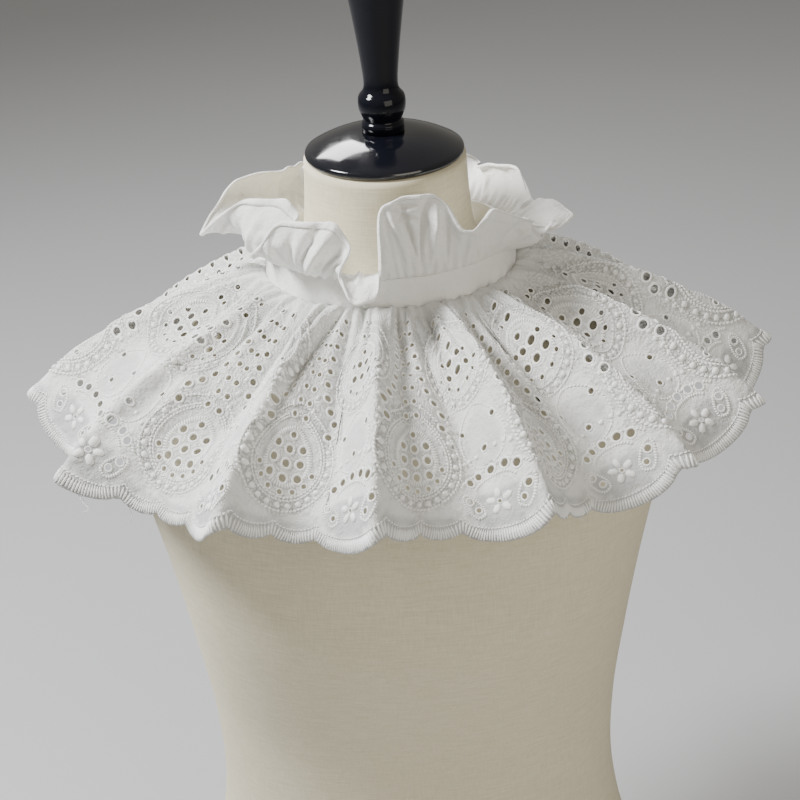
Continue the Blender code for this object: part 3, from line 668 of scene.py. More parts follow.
def eyeletRows():
    # Across, above the hem line, diameter
    middle = embroidery["medallion"]
    upper = embroidery["upperMedallion"]
    pitch = embroidery["pitch"]

    def arc(angles, height, wide, tall, diameter):
        turns = [math.radians(angle) for angle in angles]
        return [(wide * mm * math.sin(t), height + tall * mm * math.cos(t), diameter * mm) for t in turns]

    rows = []
    for row in (-1, 0, 1):
        for side in (-1, 0, 1):
            rows.append((side * pitch, middle + row * pitch - (1.8 * mm if side == 0 else 0.0), 5.8 * mm))
    rows.append((0.0, middle + 18.0 * mm, 5.0 * mm))
    rows += arc(range(-72, 73, 24), middle, 20.0, -20.5, 3.7) + mirrored(embroidery["rising"])
    # the large lobe's own: an arc, a flower's middle, two leaves, the tear drop and the upper medallion
    lobe = arc(range(-56, 57, 28), 24.0 * mm, 20.0, 11.0, 5.4) + [(0.0, 13.5 * mm, 2.6 * mm)]
    lobe += mirrored([(15.0, 10.5, 3.8), (19.6, 17.0, 4.4)]) + [(0.0, 50.0 * mm, 4.0 * mm)]
    lobe += mirrored([(13.0, 66.0, 4.0)])
    lobe += [(side * pitch, upper - pitch, 5.6 * mm) for side in (-1, 0, 1)]
    lobe += [(side * pitch, upper + 0.05 * pitch, 5.6 * mm) for side in (-0.5, 0.5)]
    lobe += [(side * 13.0 * mm, upper + 1.0 * mm, 4.2 * mm) for side in (-1, 1)]
    lobe.append((0.0, upper + 10.5 * mm, 4.6 * mm))
    lobe += arc((-64, -38, -13, 13, 38, 64), upper - 2.0 * mm, 21.0, -19.5, 3.2)
    lobe += mirrored([(4.6, 142.0, 4.2), (4.4, 155.0, 3.8)])
    return rows + [(x - halfRepeat, h, d) for x, h, d in lobe]


def squeeze(above):
    # The gathers take up width towards the band, so eyelets there are cut wider on the flat
    wider, start, span = embroidery["squeeze"]
    return 1.0 + wider * limited((above - start) / span)


def flatCell():
    # One repeat of the strip, flat, with its scalloped hem and its eyelets cut out
    right = embroidery["cellBorder"]
    left = right - repeatWidth
    step = cape["cell"]
    columns = round(repeatWidth / step)
    across = np.linspace(left, right, columns + 1)
    hem = lobeDepth(across + halfRepeat)
    rows = round(cape["hemLine"] / step)
    deepest = max(row[2] for row in cape["lobes"])
    downs = np.linspace(0.0, cape["hemLine"] + deepest, rows + 5)
    side = [y for y in downs[1:] if y < hem[-1] - 0.6 * step]
    outline = [(x, 0.0) for x in across] + [(right, y) for y in side]
    outline += list(zip(across[::-1], hem[::-1])) + [(left, y) for y in reversed(side)]
    flat = list(outline)
    edges = [(n, (n + 1) % len(outline)) for n in range(len(outline))]
    holes = []
    sides = embroidery["eyeletSides"]
    for x, above, diameter in eyeletRows():
        y = cape["hemLine"] - above
        wide = diameter / 2.0 * float(squeeze(above))
        tall = diameter / 2.0
        base = len(flat)
        for n in range(sides):
            turn = 2.0 * math.pi * (n + 0.5) / sides
            flat.append((x + wide * math.cos(turn), y + tall * math.sin(turn)))
            edges.append((base + n, base + (n + 1) % sides))
        holes.append((x, y, wide, tall))
    holes = np.array(holes)

    def clearOf(x, y, room):
        aside = (x - holes[:, 0]) / (holes[:, 2] + room)
        upward = (y - holes[:, 1]) / (holes[:, 3] + room)
        return (aside ** 2 + upward ** 2).min() > 1.0

    for n, y in enumerate(downs[1:], 1):
        for x in across[1:-1] + (0.0 if n % 2 else step * 0.5):
            inside = x < right - 0.6 * step and y < lobeDepth(x + halfRepeat) - 0.55 * step
            if inside and clearOf(x, y, cape["eyeletRoom"]):
                flat.append((x, y))
    points, _, faces, _, _, _ = delaunay_2d_cdt([Vector(p) for p in flat], edges, [], 1, 1e-7, False)
    kept = []
    for face in faces:
        middle = sum((points[corner] for corner in face), Vector((0.0, 0.0))) / len(face)
        onCloth = clearOf(middle.x, middle.y, -cape["eyeletInset"])
        if onCloth and middle.y < np.interp(middle.x, across, hem):
            kept.append(face)
    return np.array([(p.x, p.y) for p in points]), kept


def cutStrip(points, faces, start, end):
    # The repeats from start to end across the strip, trimmed there and joined
    allPoints = []
    allFaces = []
    for index in range(-1, cape["repeats"] + 2):
        shift = (index + 0.5) * repeatWidth
        right = shift + embroidery["cellBorder"]
        if right < start or right - repeatWidth > end:
            continue
        base = len(allPoints)
        allPoints += [(x + shift, y, 0.0) for x, y in points]
        allFaces += [tuple(base + corner for corner in face) for face in faces]
    mesh = bpy.data.meshes.new("flat strip")
    mesh.from_pydata(allPoints, [], allFaces)
    cloth = bmesh.new()
    cloth.from_mesh(mesh)
    bmesh.ops.remove_doubles(cloth, verts=cloth.verts, dist=2e-5)
    for at, way in ((start, -1.0), (end, 1.0)):
        everything = cloth.verts[:] + cloth.edges[:] + cloth.faces[:]
        plane = {"plane_co": (at, 0.0, 0.0), "plane_no": (way, 0.0, 0.0)}
        bmesh.ops.bisect_plane(cloth, geom=everything, dist=1e-6, clear_outer=True, **plane)
    cloth.to_mesh(mesh)
    cloth.free()
    return mesh


def inRepeat(across, down):
    # Place in its repeat, height over the hem line and way to the scalloped edge
    return (across / repeatWidth) % 1.0 * repeatWidth, cape["hemLine"] - down, lobeDepth(across) - down


def ringAt(x, above, middle, height, low, high):
    # 1 between two tear drops round a medallion's middle
    aside = np.minimum(np.abs(x - middle), repeatWidth - np.abs(x - middle))
    upward = above - height
    upward = np.where(upward > 0.0, upward / 1.25, upward)
    away = np.hypot(aside, upward)
    soft = 0.0015
    return limited((away - low) / soft) * limited((high - away) / soft)


def rings(x, above, radii):
    # 1 in a ring round each hem medallion, and in one round each upper medallion
    upper = embroidery["upperMedallion"] - embroidery["upperDrop"]
    return (ringAt(x, above, halfRepeat, embroidery["medallion"], *radii[0])
            + ringAt(x, above, 0.0, upper, *radii[1]))


def spot(aside, above, width, height, middle):
    # 1 in an oval, with a soft edge
    return limited(limited(1.0 - ((aside / width) ** 2 + ((above - middle) / height) ** 2)) * 5.0)


def sheerAndShade(across, down):
    # How far painted shade greys the ground: 1 on the bare voile just inside the lobes and in the tear drop
    # over the arc, 0 on stitching; also between the scallop ribs, and a little everywhere
    x, above, toHem = inRepeat(across, down)
    fromMedallion = np.abs(x - halfRepeat)
    fromLobe = halfRepeat - fromMedallion
    lobe = spot(fromLobe, above, 0.0235, 0.0125, 0.010) * limited((toHem - 0.009) / 0.002)
    small = limited(1.0 - np.abs(toHem - 0.0115) / 0.0035) * (fromMedallion < 0.026)
    drop = spot(fromLobe, above, 0.014, 0.019, 0.056)
    ribs = limited((embroidery["bandDepth"] - toHem) / mm)
    bare = rings(x, above, embroidery["bareRings"])
    return limited(0.20 + 0.80 * lobe + 0.70 * small + 0.38 * drop + 0.85 * ribs + 0.55 * bare)


def stitching(across, down):
    # How closely the ground is filled with small stitches: fully in the medallions' rings,
    # less between them, and not at all on the bare voile
    x, above, toHem = inRepeat(across, down)
    filled = rings(x, above, embroidery["filledRings"])
    inside = rings(x, above, embroidery["filledMiddles"])
    ground = 0.55 * limited((above - 0.03) / 0.004) * limited((down - 0.006) / 0.01)
    aside = np.minimum(x, repeatWidth - x)
    bare = (sheerAndShade(across, down) > 0.2) | ((aside < 0.0165) & (np.abs(above - 0.060) < 0.024))
    between = np.where(bare, 0.0, np.maximum(ground, 0.75 * inside))
    return np.maximum(filled, between) * (toHem > embroidery["bandDepth"])


def drape(mesh, lift=0.0):
    # Takes a mesh made on the flat strip to where it is worn, and returns its flat places
    flat = np.zeros(len(mesh.vertices) * 3, np.float32)
    mesh.vertices.foreach_get("co", flat)
    flat = flat.reshape(-1, 3).astype(float)
    place = worn(flat[:, 0], flat[:, 1], flat[:, 2] + lift)[0]
    mesh.vertices.foreach_set("co", place.astype(np.float32).ravel())
    mesh.flip_normals()
    mesh.update()
    return flat


def capeCloth(name, cell, start, end):
    mesh = cutStrip(cell[0], cell[1], start, end)
    flat = drape(mesh)
    mesh.materials.append(eyeletCotton)
    mesh.shade_smooth()
    mesh.name = name
    addCut(mesh, flat, sheerAndShade(flat[:, 0], flat[:, 1]))
    addNumbers(mesh, "stitched", stitching(flat[:, 0], flat[:, 1]))
    mesh.update()
    piece = bpy.data.objects.new(name, mesh)
    world.objects.link(piece)
    addWall(piece, cape["wall"])
    return piece


# Stitching: Geometry Nodes put one small shape on every point, laid and sized by its attributes
def stitchTree(name, shape):
    tree = bpy.data.node_groups.new(name, "GeometryNodeTree")
    for socket, way, kind in (
        ("Geometry", "INPUT", "Geometry"), ("Sides", "INPUT", "Int"), ("Rows", "INPUT", "Int"),
        ("Thread", "INPUT", "Material"), ("Geometry", "OUTPUT", "Geometry"),
    ):
        tree.interface.new_socket(socket, in_out=way, socket_type="NodeSocket" + kind)

    def node(kind, **settings):
        made = tree.nodes.new(kind)
        for key, value in settings.items():
            setattr(made, key, value)
        return made

    def link(first, output, second, slot):
        tree.links.new(first.outputs[output], second.inputs[slot])

    given = node("NodeGroupInput")
    if shape == "rim":
        unitShape = node("GeometryNodeCurveToMesh")
        width = embroidery["rimWidth"]
        for slot, steps, radius in (("Curve", "Sides", 1.0 + width * 0.55), ("Profile Curve", "Rows", width)):
            circle = node("GeometryNodeCurvePrimitiveCircle", mode="RADIUS")
            link(given, steps, circle, "Resolution")
            circle.inputs["Radius"].default_value = radius
            link(circle, "Curve", unitShape, slot)
    else:
        unitShape = node("GeometryNodeMeshUVSphere")
        link(given, "Sides", unitShape, "Segments")
        link(given, "Rows", unitShape, "Rings")
        unitShape.inputs["Radius"].default_value = 0.5
    laid = node("FunctionNodeAxesToRotation", primary_axis="Z", secondary_axis="X")
    for slot, attribute in (("Primary Axis", "out"), ("Secondary Axis", "along")):
        reader = node("GeometryNodeInputNamedAttribute", data_type="FLOAT_VECTOR")
        reader.inputs["Name"].default_value = attribute
        link(reader, "Attribute", laid, slot)
    sized = node("GeometryNodeInputNamedAttribute", data_type="FLOAT_VECTOR")
    sized.inputs["Name"].default_value = "size"
    instances = node("GeometryNodeInstanceOnPoints")
    link(given, "Geometry", instances, "Points")
    link(unitShape, "Mesh", instances, "Instance")
    link(laid, "Rotation", instances, "Rotation")
    link(sized, "Attribute", instances, "Scale")
    real = node("GeometryNodeRealizeInstances")
    link(instances, "Instances", real, "Geometry")
    soft = node("GeometryNodeSetShadeSmooth")
    link(real, "Geometry", soft, "Geometry")
    threaded = node("GeometryNodeSetMaterial")
    link(soft, "Geometry", threaded, "Geometry")
    link(given, "Thread", threaded, "Material")
    result = node("NodeGroupOutput")
    link(threaded, "Geometry", result, "Geometry")
    return tree


rimTree = stitchTree("eyelet rims", "rim")
padTree = stitchTree("satin pads", "pad")


def sew(name, tree, sides, rows, place, along, out, size):
    # Runs a stitch tree over points and keeps the result as a plain mesh
    readings = {"along": along, "out": out, "size": size}
    points = bpy.data.meshes.new(name)
    points.from_pydata([tuple(point) for point in place], [], [])
    for attribute, values in readings.items():
        addVectors(points, attribute, values)
    piece = bpy.data.objects.new(name, points)
    world.objects.link(piece)
    layer = piece.modifiers.new("stitches", "NODES")
    layer.node_group = tree
    values = {"Sides": sides, "Rows": rows, "Thread": embroideryThread}
    for item in tree.interface.items_tree:
        if item.in_out == "INPUT" and item.name in values:
            layer[item.identifier] = values[item.name]
    graph = bpy.context.evaluated_depsgraph_get()
    graph.update()
    mesh = bpy.data.meshes.new_from_object(piece.evaluated_get(graph))
    piece.modifiers.remove(layer)
    for leftover in readings:
        if leftover in mesh.attributes:
            mesh.attributes.remove(mesh.attributes[leftover])
    mesh.name = name
    piece.data = mesh
    return piece


def stitchedPath(points, pitch):
    # Stitches one after another along a flat path: middle and direction of each
    points = np.asarray(points, float)
    length = pathLengths(points)
    count = max(1, round(length[-1] / pitch))
    at = (np.arange(count) + 0.5) / count * length[-1]
    small = pitch * 0.3
    place, ahead, behind = [np.stack([np.interp(at + shift, length, points[:, n]) for n in (0, 1)], -1)
                            for shift in (0.0, small, -small)]
    way = ahead - behind
    return place, np.arctan2(way[:, 1], way[:, 0])


def tearDrop(radius, top, steps=96):
    # Round below, drawn up to a soft point: across and above, from its middle
    rows = []
    for n in range(steps + 1):
        turn = 2.0 * math.pi * n / steps
        low = -math.cos(turn)
        side = math.sin(turn)
        if low > 0.0:
            rows.append((radius * math.copysign(abs(side) ** 1.35, side), radius * top * low ** 0.95))
        else:
            rows.append((radius * side, radius * low))
    return rows


def motifRows():
    # Every stitch of one repeat but the eyelet rims and the hem: across from the medallion, above the
    # hem line, turn, length, width, height. Its helpers take millimetres, and places in metres
    rows = []
    lobe = -halfRepeat
    hemMedallion = (0.0, embroidery["medallion"])
    upperMedallion = (lobe, embroidery["upperMedallion"] - embroidery["upperDrop"])

    def line(points, at, pitch, length, width, height, tilt):
        place, turn = stitchedPath(points, pitch * mm)
        for (x, h), angle in zip(place, turn):
            rows.append((at[0] + x, at[1] + h, angle + tilt, length * mm, width * mm, height * mm))

    def drops(radius, top, at, *stitch):
        line(tearDrop(radius * mm, top), at, *stitch)

    def rays(radius, top, at, pitch, length):
        drops(radius, top, at, pitch, length, pitch * 0.92, 1.35, math.pi / 2.0)

    def dots(radius, top, at, count, start, end, size):
        steps = 240
        path = tearDrop(radius * mm, top, steps)
        for n in range(count):
            x, h = path[round((start + (end - start) * n / (count - 1)) * steps) % steps]
            rows.append((at[0] + x, at[1] + h, 0.0, size * mm, size * 0.92 * mm, 2.3 * mm))

    rays(15.9, 1.42, hemMedallion, 1.75, 4.4)
    drops(23.6, 1.36, hemMedallion, 2.4, 2.8, 1.4, 1.3, 0.35)
    drops(25.6, 1.34, hemMedallion, 2.4, 2.8, 1.4, 1.3, -0.35)
    dots(29.0, 1.3, hemMedallion, 17, 0.70, 1.30, 4.5)
    drops(32.4, 1.26, hemMedallion, 2.6, 3.0, 1.7, 1.5, 0.35)
    # the lobe's flower, its leaves, the arcs and dots over them, and the tear drop
    for petal in range(5):
        turn = math.radians(90.0 + 72.0 * petal)
        place = (lobe + 5.6 * mm * math.cos(turn), 13.5 * mm + 5.6 * mm * math.sin(turn))
        rows.append(place + (turn, 7.6 * mm, 5.0 * mm, 2.4 * mm))
    for side in (-1.0, 1.0):
        leaf = [(side * x * mm, h * mm) for x, h in embroidery["leaf"]]
        line(smoothRows(leaf, 6), (lobe, 0.0), 1.6, 2.3, 1.5, 1.3, 1.2)
    for radius in (15.0 * mm, 25.0 * mm):
        turns = [math.radians(angle) for angle in range(-72, 73, 6)]
        arc = [(radius * math.sin(turn), radius * 0.62 * math.cos(turn)) for turn in turns]
        line(arc, (lobe, 21.5 * mm), 1.8, 2.6, 1.6, 1.4, 1.0)
    for n in range(7):
        turn = math.radians(-66.0 + 22.0 * n)
        place = (lobe + 19.0 * mm * math.sin(turn), 41.0 * mm + 6.8 * mm * math.cos(turn))
        rows.append(place + (0.0, 3.8 * mm, 3.5 * mm, 1.9 * mm))
    drops(17.0, 1.5, (lobe, 55.0 * mm), 2.5, 2.9, 1.5, 1.3, 0.35)
    for side in (-1.0, 1.0):
        for n in range(5):
            turn = math.radians(30.0 + 30.0 * n)
            place = (lobe + side * 24.0 * mm - 2.16 * mm * math.cos(turn), (58.0 + 6.0 * n) * mm)
            rows.append(place + (turn, 3.8 * mm, 3.0 * mm, 1.8 * mm))
    rays(17.6, 1.25, upperMedallion, 1.9, 3.6)
    drops(24.4, 1.2, upperMedallion, 2.4, 2.8, 1.5, 1.3, 0.35)
    dots(28.4, 1.16, upperMedallion, 15, 0.74, 1.26, 4.2)
    drops(32.0, 1.14, upperMedallion, 2.6, 3.0, 1.6, 1.5, 0.35)
    # little leaves between the rising eyelets
    for side in (-1.0, 1.0):
        for n in range(7):
            place = (side * (9.2 + 0.5 * math.sin(n)) * mm, (84.0 + 11.0 * n) * mm)
            rows.append(place + (math.radians(70.0 * side), 5.0 * mm, 2.8 * mm, 1.9 * mm))
    # nothing is sewn across an eyelet
    made = np.array(rows)
    x, above, diameter = np.array(eyeletRows()).T
    room = embroidery["stitchRoom"]
    aside = np.abs(made[:, :1] - x)
    aside = np.minimum(aside, repeatWidth - aside) / (diameter / 2.0 * squeeze(above) + room)
    upward = (made[:, 1:2] - above) / (diameter / 2.0 + room)
    return made[(aside ** 2 + upward ** 2).min(axis=1) > 1.0]


def overStrip(rows, start, end):
    # The rows of one repeat, set all along the strip between two places across it
    made = []
    for index in range(-1, cape["repeats"] + 2):
        moved = rows + np.array([(index + 0.5) * repeatWidth] + [0.0] * (rows.shape[1] - 1))
        made.append(moved[(moved[:, 0] > start) & (moved[:, 0] <= end)])
    return np.vstack(made)


def stitchRows(place, turn, length, width, height):
    # Rows for sewFlat: across, above the hem line, turn, length, width, height
    rest = [np.broadcast_to(item, len(place)) for item in (turn, length, width, height)]
    return np.column_stack([place] + rest)


def sewFlat(name, tree, sides, rows, flatRows, lift):
    across, above, turn = flatRows[:, :3].T
    none = across * 0.0
    place = np.stack([across, cape["hemLine"] - above, none], -1)
    along = np.stack([np.cos(turn), -np.sin(turn), none], -1)
    out = np.stack([none, none, none + 1.0], -1)
    piece = sew(name, tree, sides, rows, place, along, out, flatRows[:, 3:6])
    drape(piece.data, lift)
    return piece


def rimRows():
    rows = np.array(eyeletRows())
    half = rows[:, 2] / 2.0
    return stitchRows(rows[:, :2], 0.0, half * squeeze(rows[:, 1]), half, embroidery["rimHeight"])


# The scalloped edge: ribs square to it, and a line of stitches that bounds them on the inner side
scallopBand = {
    "pitch": 1.75 * mm, "length": 9.0 * mm, "width": 1.42 * mm, "height": 2.2 * mm, "overEdge": 0.5 * mm,
    "uneven": (-0.5 * mm, 0.6 * mm), "unevenTurn": 0.05, "step": 0.6 * mm, "evenOver": 31, "seed": 7,
    "lineInset": 9.0 * mm, "linePitch": 2.2 * mm, "lineStitch": (0.3, 2.6 * mm, 1.1 * mm, 1.0 * mm),
}


def hemEdge(start, end, inset=0.0):
    across = np.linspace(start, end, int((end - start) / scallopBand["step"]))
    return across, cape["hemLine"] - lobeDepth(across) + inset


def scallopRows(start, end):
    band = scallopBand
    across, above = hemEdge(start, end)
    place, _ = stitchedPath(np.stack([across, above], -1), band["pitch"])
    # the ribs' way follows the edge smoothed, so that they fan out at its cusps
    over = band["evenOver"]
    window = np.hanning(over)
    run = np.convolve(np.pad(above, over, mode="edge"), window / window.sum(), "same")
    turn = np.arctan(np.interp(place[:, 0], across, np.gradient(run[over:-over], across)))
    chance = np.random.default_rng(band["seed"])
    uneven = chance.uniform(*band["uneven"], len(place))
    inward = np.stack([-np.sin(turn), np.cos(turn)], -1)
    length = band["length"] + uneven
    middle = place + inward * (length / 2.0 - band["overEdge"] - uneven)[:, None]
    turn = turn + np.pi / 2.0 + chance.uniform(-band["unevenTurn"], band["unevenTurn"], len(place))
    return stitchRows(middle, turn, length, band["width"], band["height"])


def scallopLine(start, end):
    line = np.stack(hemEdge(start, end, scallopBand["lineInset"]), -1)
    place, way = stitchedPath(line, scallopBand["linePitch"])
    turn, length, width, height = scallopBand["lineStitch"]
    return stitchRows(place, way + turn, length, width, height)


# The folded edge of the opening at the centre back, and the running stitches that hold it
backHem = {
    "width": 0.0052, "thickness": 0.0011, "columns": 7, "rows": 90, "clear": 0.0005,
    "pitch": 0.0024, "stitchIn": 0.0009, "stitch": (math.pi / 2.0, 0.0018, 0.0005, 0.0006),
}


def buildBackHem(name, edge, inward):
    clear = backHem["clear"]
    span = np.linspace(0.0, inward * backHem["width"], backHem["columns"]) + edge
    depth = float(lobeDepth(np.array([edge + inward * clear]))[0]) - 0.0006
    downs = np.linspace(clear, depth, backHem["rows"])
    points = [(x, y, 0.0) for x in sorted(span) for y in downs]
    hem = addPiece(name + "_edge_hem", points, gridFaces(backHem["columns"], backHem["rows"]), eyeletCotton)
    addCut(hem.data, drape(hem.data), 0.0)
    addNumbers(hem.data, "stitched", 0.0)
    addWall(hem, backHem["thickness"])
    across = edge + inward * (backHem["width"] - backHem["stitchIn"])
    place = [(across, cape["hemLine"] - (n + 0.7) * backHem["pitch"])
             for n in range(int(depth / backHem["pitch"]))]
    rows = stitchRows(np.array(place), *backHem["stitch"])
    return [hem, sewFlat(name + "_edge_stitches", padTree, 5, 3, rows, backHem["thickness"] / 2.0)]


looseThreads = {
    "radius": 0.00018, "sides": 6, "steps": 14,
    # across the strip, how far each end wanders sideways, down and out, all in metres
    "ends": [(0.5360, 0.009, 0.013, 0.004), (0.5480, -0.011, 0.010, 0.006), (0.5610, 0.006, 0.015, 0.002),
             (0.9150, 0.008, 0.007, 0.005), (1.1420, -0.007, 0.010, 0.003)],
}


def buildLooseThreads(name):
    # Thread ends left hanging from the scalloped edge, each a thin curl
    steps, sides = looseThreads["steps"], looseThreads["sides"]
    points = []
    faces = []
    for across, aside, drop, lean in looseThreads["ends"]:
        rows = np.array([across])
        place, right, out = [item[0] for item in worn(rows, lobeDepth(rows) - 0.0012)]
        share = np.linspace(0.0, 1.0, steps)[:, None]
        path = place + right * aside * np.sin(share * 2.6) + out * lean * share ** 2
        path = path + np.array([0.0, 0.0, -1.0]) * drop * share
        way = unit(np.gradient(path, axis=0))
        first = unit(np.cross(way, out))
        second = np.cross(way, first)
        base = len(points)
        for n in range(steps):
            for side in range(sides):
                turn = 2.0 * math.pi * side / sides
                aroundIt = first[n] * math.cos(turn) + second[n] * math.sin(turn)
                points.append(path[n] + aroundIt * looseThreads["radius"])
        faces += [tuple(base + corner for corner in reversed(face)) for face in tubeFaces(steps, sides)]
    return addPiece(name + "_loose_threads", points, faces, embroideryThread)


def buildCape():
    cell = flatCell()
    seam = cape["sideSeam"]
    leftSeam, rightSeam = np.interp((-seam, seam), hemAzimuths, hemAcross)
    spans = {
        "cape_back_left": (0.0, leftSeam),
        "cape_front": (leftSeam, rightSeam),
        "cape_back_right": (rightSeam, stripWidth),
    }
    motifs = motifRows()
    rims = rimRows()
    edge = 2.6 * mm
    top = cape["wall"] * 0.5
    for node, (start, end) in spans.items():
        inner = (max(start, edge), min(end, stripWidth - edge))
        cloth = capeCloth(node + "_cloth", cell, start, end)
        pieces = [
            sewFlat(node + "_eyelet_rims", rimTree, 10, 5, overStrip(rims, *inner), 0.1 * mm),
            sewFlat(node + "_satin_stitch", padTree, 6, 4, overStrip(motifs, *inner), top),
            sewFlat(node + "_scallop_ribs", padTree, 5, 4, scallopRows(*inner), top * 0.4),
            sewFlat(node + "_scallop_line", padTree, 5, 3, scallopLine(*inner), top + 0.1 * mm),
        ]
        if node == "cape_front":
            pieces.append(buildLooseThreads(node))
        if start == 0.0:
            pieces += buildBackHem(node, 0.0, 1.0)
        if end == stripWidth:
            pieces += buildBackHem(node, stripWidth, -1.0)
        for piece in [cloth] + pieces:
            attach(piece, "root")
        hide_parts(node)
        print("collar:", node, "sewn,", len(cloth.data.polygons), "faces of cloth")


